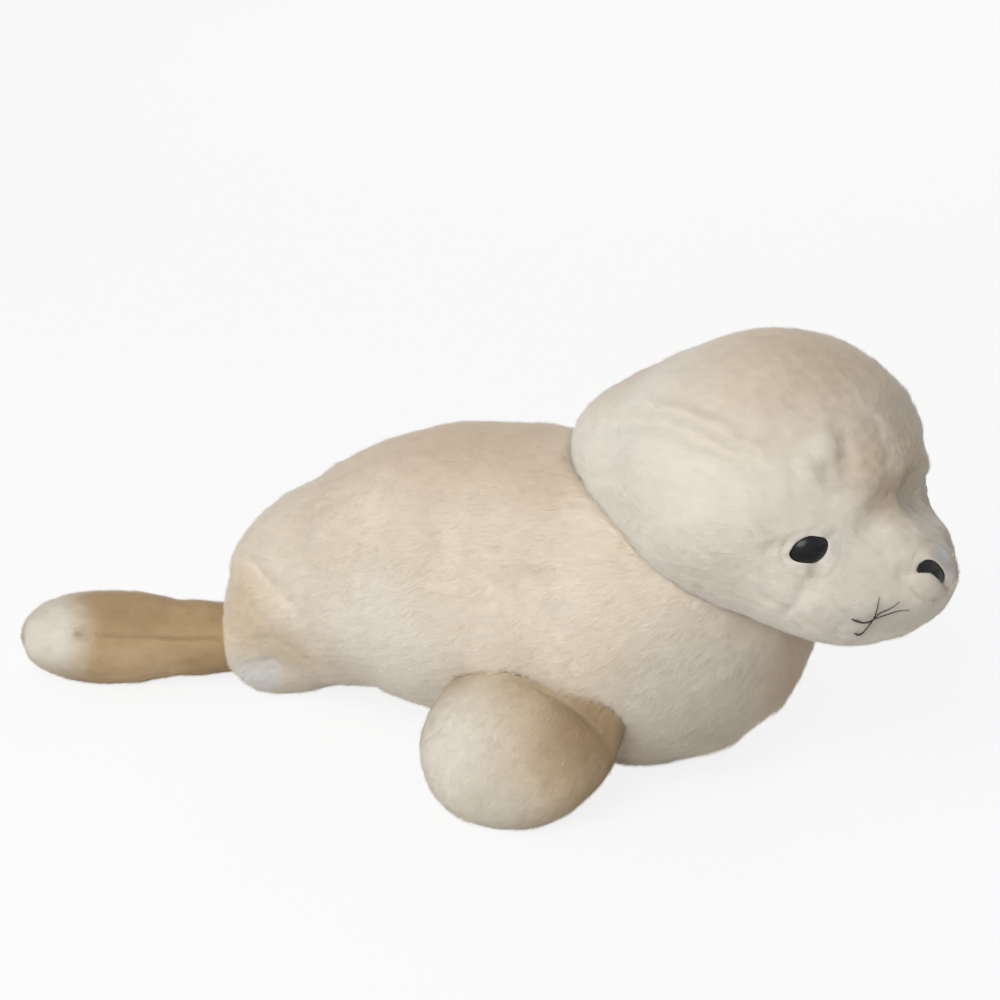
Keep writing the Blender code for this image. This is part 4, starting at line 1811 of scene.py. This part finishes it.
@dataclass
class Studio:
    """Floor, lamps and surroundings."""

    floor_radius: float = 9.0
    floor_drop: float = 0.0002
    floor_colour: Colour = (0.88, 0.88, 0.88)
    floor_white: float = 0.86     # share of plain white that the camera sees over it
    lamps: tuple[tuple[str, Point, float, float], ...] = (
        ("key", (0.10, -1.90, 1.45), 36.0, 1.4),
        ("fill", (-1.90, -0.80, 0.90), 4.5, 1.2),
        ("back", (-0.60, 2.10, 1.30), 11.8, 1.6),
    )
    sky: float = 0.445
    dim: Colour = (0.27, 0.19, 0.13)
    dim_reach: tuple[float, float] = (-0.2, 0.7)    # along +X, where the sky begins to dim and is dimmest
    floor_rim: int = 64
    aim: Point = (0.0, 0.0, 0.08)

    def lamp(self, name: str, place: Point, power: float, size: float) -> None:
        """Hang a soft square lamp that faces the toy.

        Args:
            name: The lamp's name.
            place: Where it hangs.
            power: Its power in watts.
            size: Its side in metres.
        """
        data = bpy.data.lights.new(name, "AREA")
        data.shape = "SQUARE"
        data.size = size
        data.energy = power
        lamp = bpy.data.objects.new(name, data)
        lamp.location = place
        lamp.rotation_euler = (Vector(self.aim) - Vector(place)).to_track_quat("-Z", "Y").to_euler()
        bpy.context.collection.objects.link(lamp)

    def surroundings(self) -> None:
        """White to the camera and in reflections; as light a soft grey, dimmer and warmer ahead."""
        world = bpy.data.worlds.new("studio")
        bpy.context.scene.world = world
        world.use_nodes = True
        graph = NodeGraph(world.node_tree)
        background = graph.tree.nodes["Background"]
        white = 0.0
        for ray in ("Camera", "Glossy", "Transmission"):
            seen = graph.node("ShaderNodeLightPath", {}, {}, f"Is {ray} Ray")
            white = graph.node("ShaderNodeMath", {"operation": "MAXIMUM"}, {0: white, 1: seen})
        reach = {"Value": white, "To Min": self.sky, "To Max": 1.0}
        graph.feed(background.inputs["Strength"], graph.node("ShaderNodeMapRange", {}, reach))
        place = graph.node("ShaderNodeTexCoord", {}, {}, "Generated")
        ahead = graph.eased(graph.node("ShaderNodeSeparateXYZ", {}, {0: place}, "X"), *self.dim_reach, 1.0)
        lit = graph.node("ShaderNodeMath", {"operation": "SUBTRACT", "use_clamp": True}, {0: ahead, 1: white})
        graph.feed(background.inputs["Color"], graph.mixed(lit, FULL_WHITE, self.dim))

    def build(self) -> None:
        """Set up the studio."""
        mesh = bpy.data.meshes.new("floor")
        turns = [2.0 * math.pi * i / self.floor_rim for i in range(self.floor_rim)]
        radius = self.floor_radius
        rim = [(radius * math.cos(a), radius * math.sin(a), -self.floor_drop) for a in turns]
        mesh.from_pydata(rim, [], [tuple(range(self.floor_rim))])
        mesh.materials.append(FloorFinish("floor_white", self.floor_colour, self.floor_white).material())
        floor = bpy.data.objects.new("floor", mesh)
        bpy.context.collection.objects.link(floor)
        for name, place, power, size in self.lamps:
            self.lamp(name, place, power, size)
        self.surroundings()
        bpy.context.scene.view_settings.view_transform = "Standard"


def main() -> None:
    """Build the toy piece by piece, then the studio round it."""
    logging.basicConfig(level=logging.INFO, format="%(message)s")
    CAMERA.build()
    face = Face()
    HEAD.seats = face.seats
    BODY_POUCH.build()
    head = HEAD.build()
    face.build(head)
    tan = FurFinish(TAN, TAN_DEEP)
    short = {"fill": 0.8, "pile": Pile(length=0.0048, width=0.00042), "depth": 0.0012}
    for side, label in ((-1, "right"), (1, "left")):
        FrontFlipper("front_flipper_" + label, "tan_fur", squares=46, strands=42000, seed=300, side=side,
                     finish=tan, patches=FLIPPER_PATCHES, **short).build()
    TailFlipper("tail_flipper", "tan_fur", squares=60, strands=52000, seed=400,
                finish=FurFinish(TAIL, TAIL_DEEP), patches=TAIL_PATCHES, **short).build()
    Studio().build()


if __name__ == "__main__":
    main()
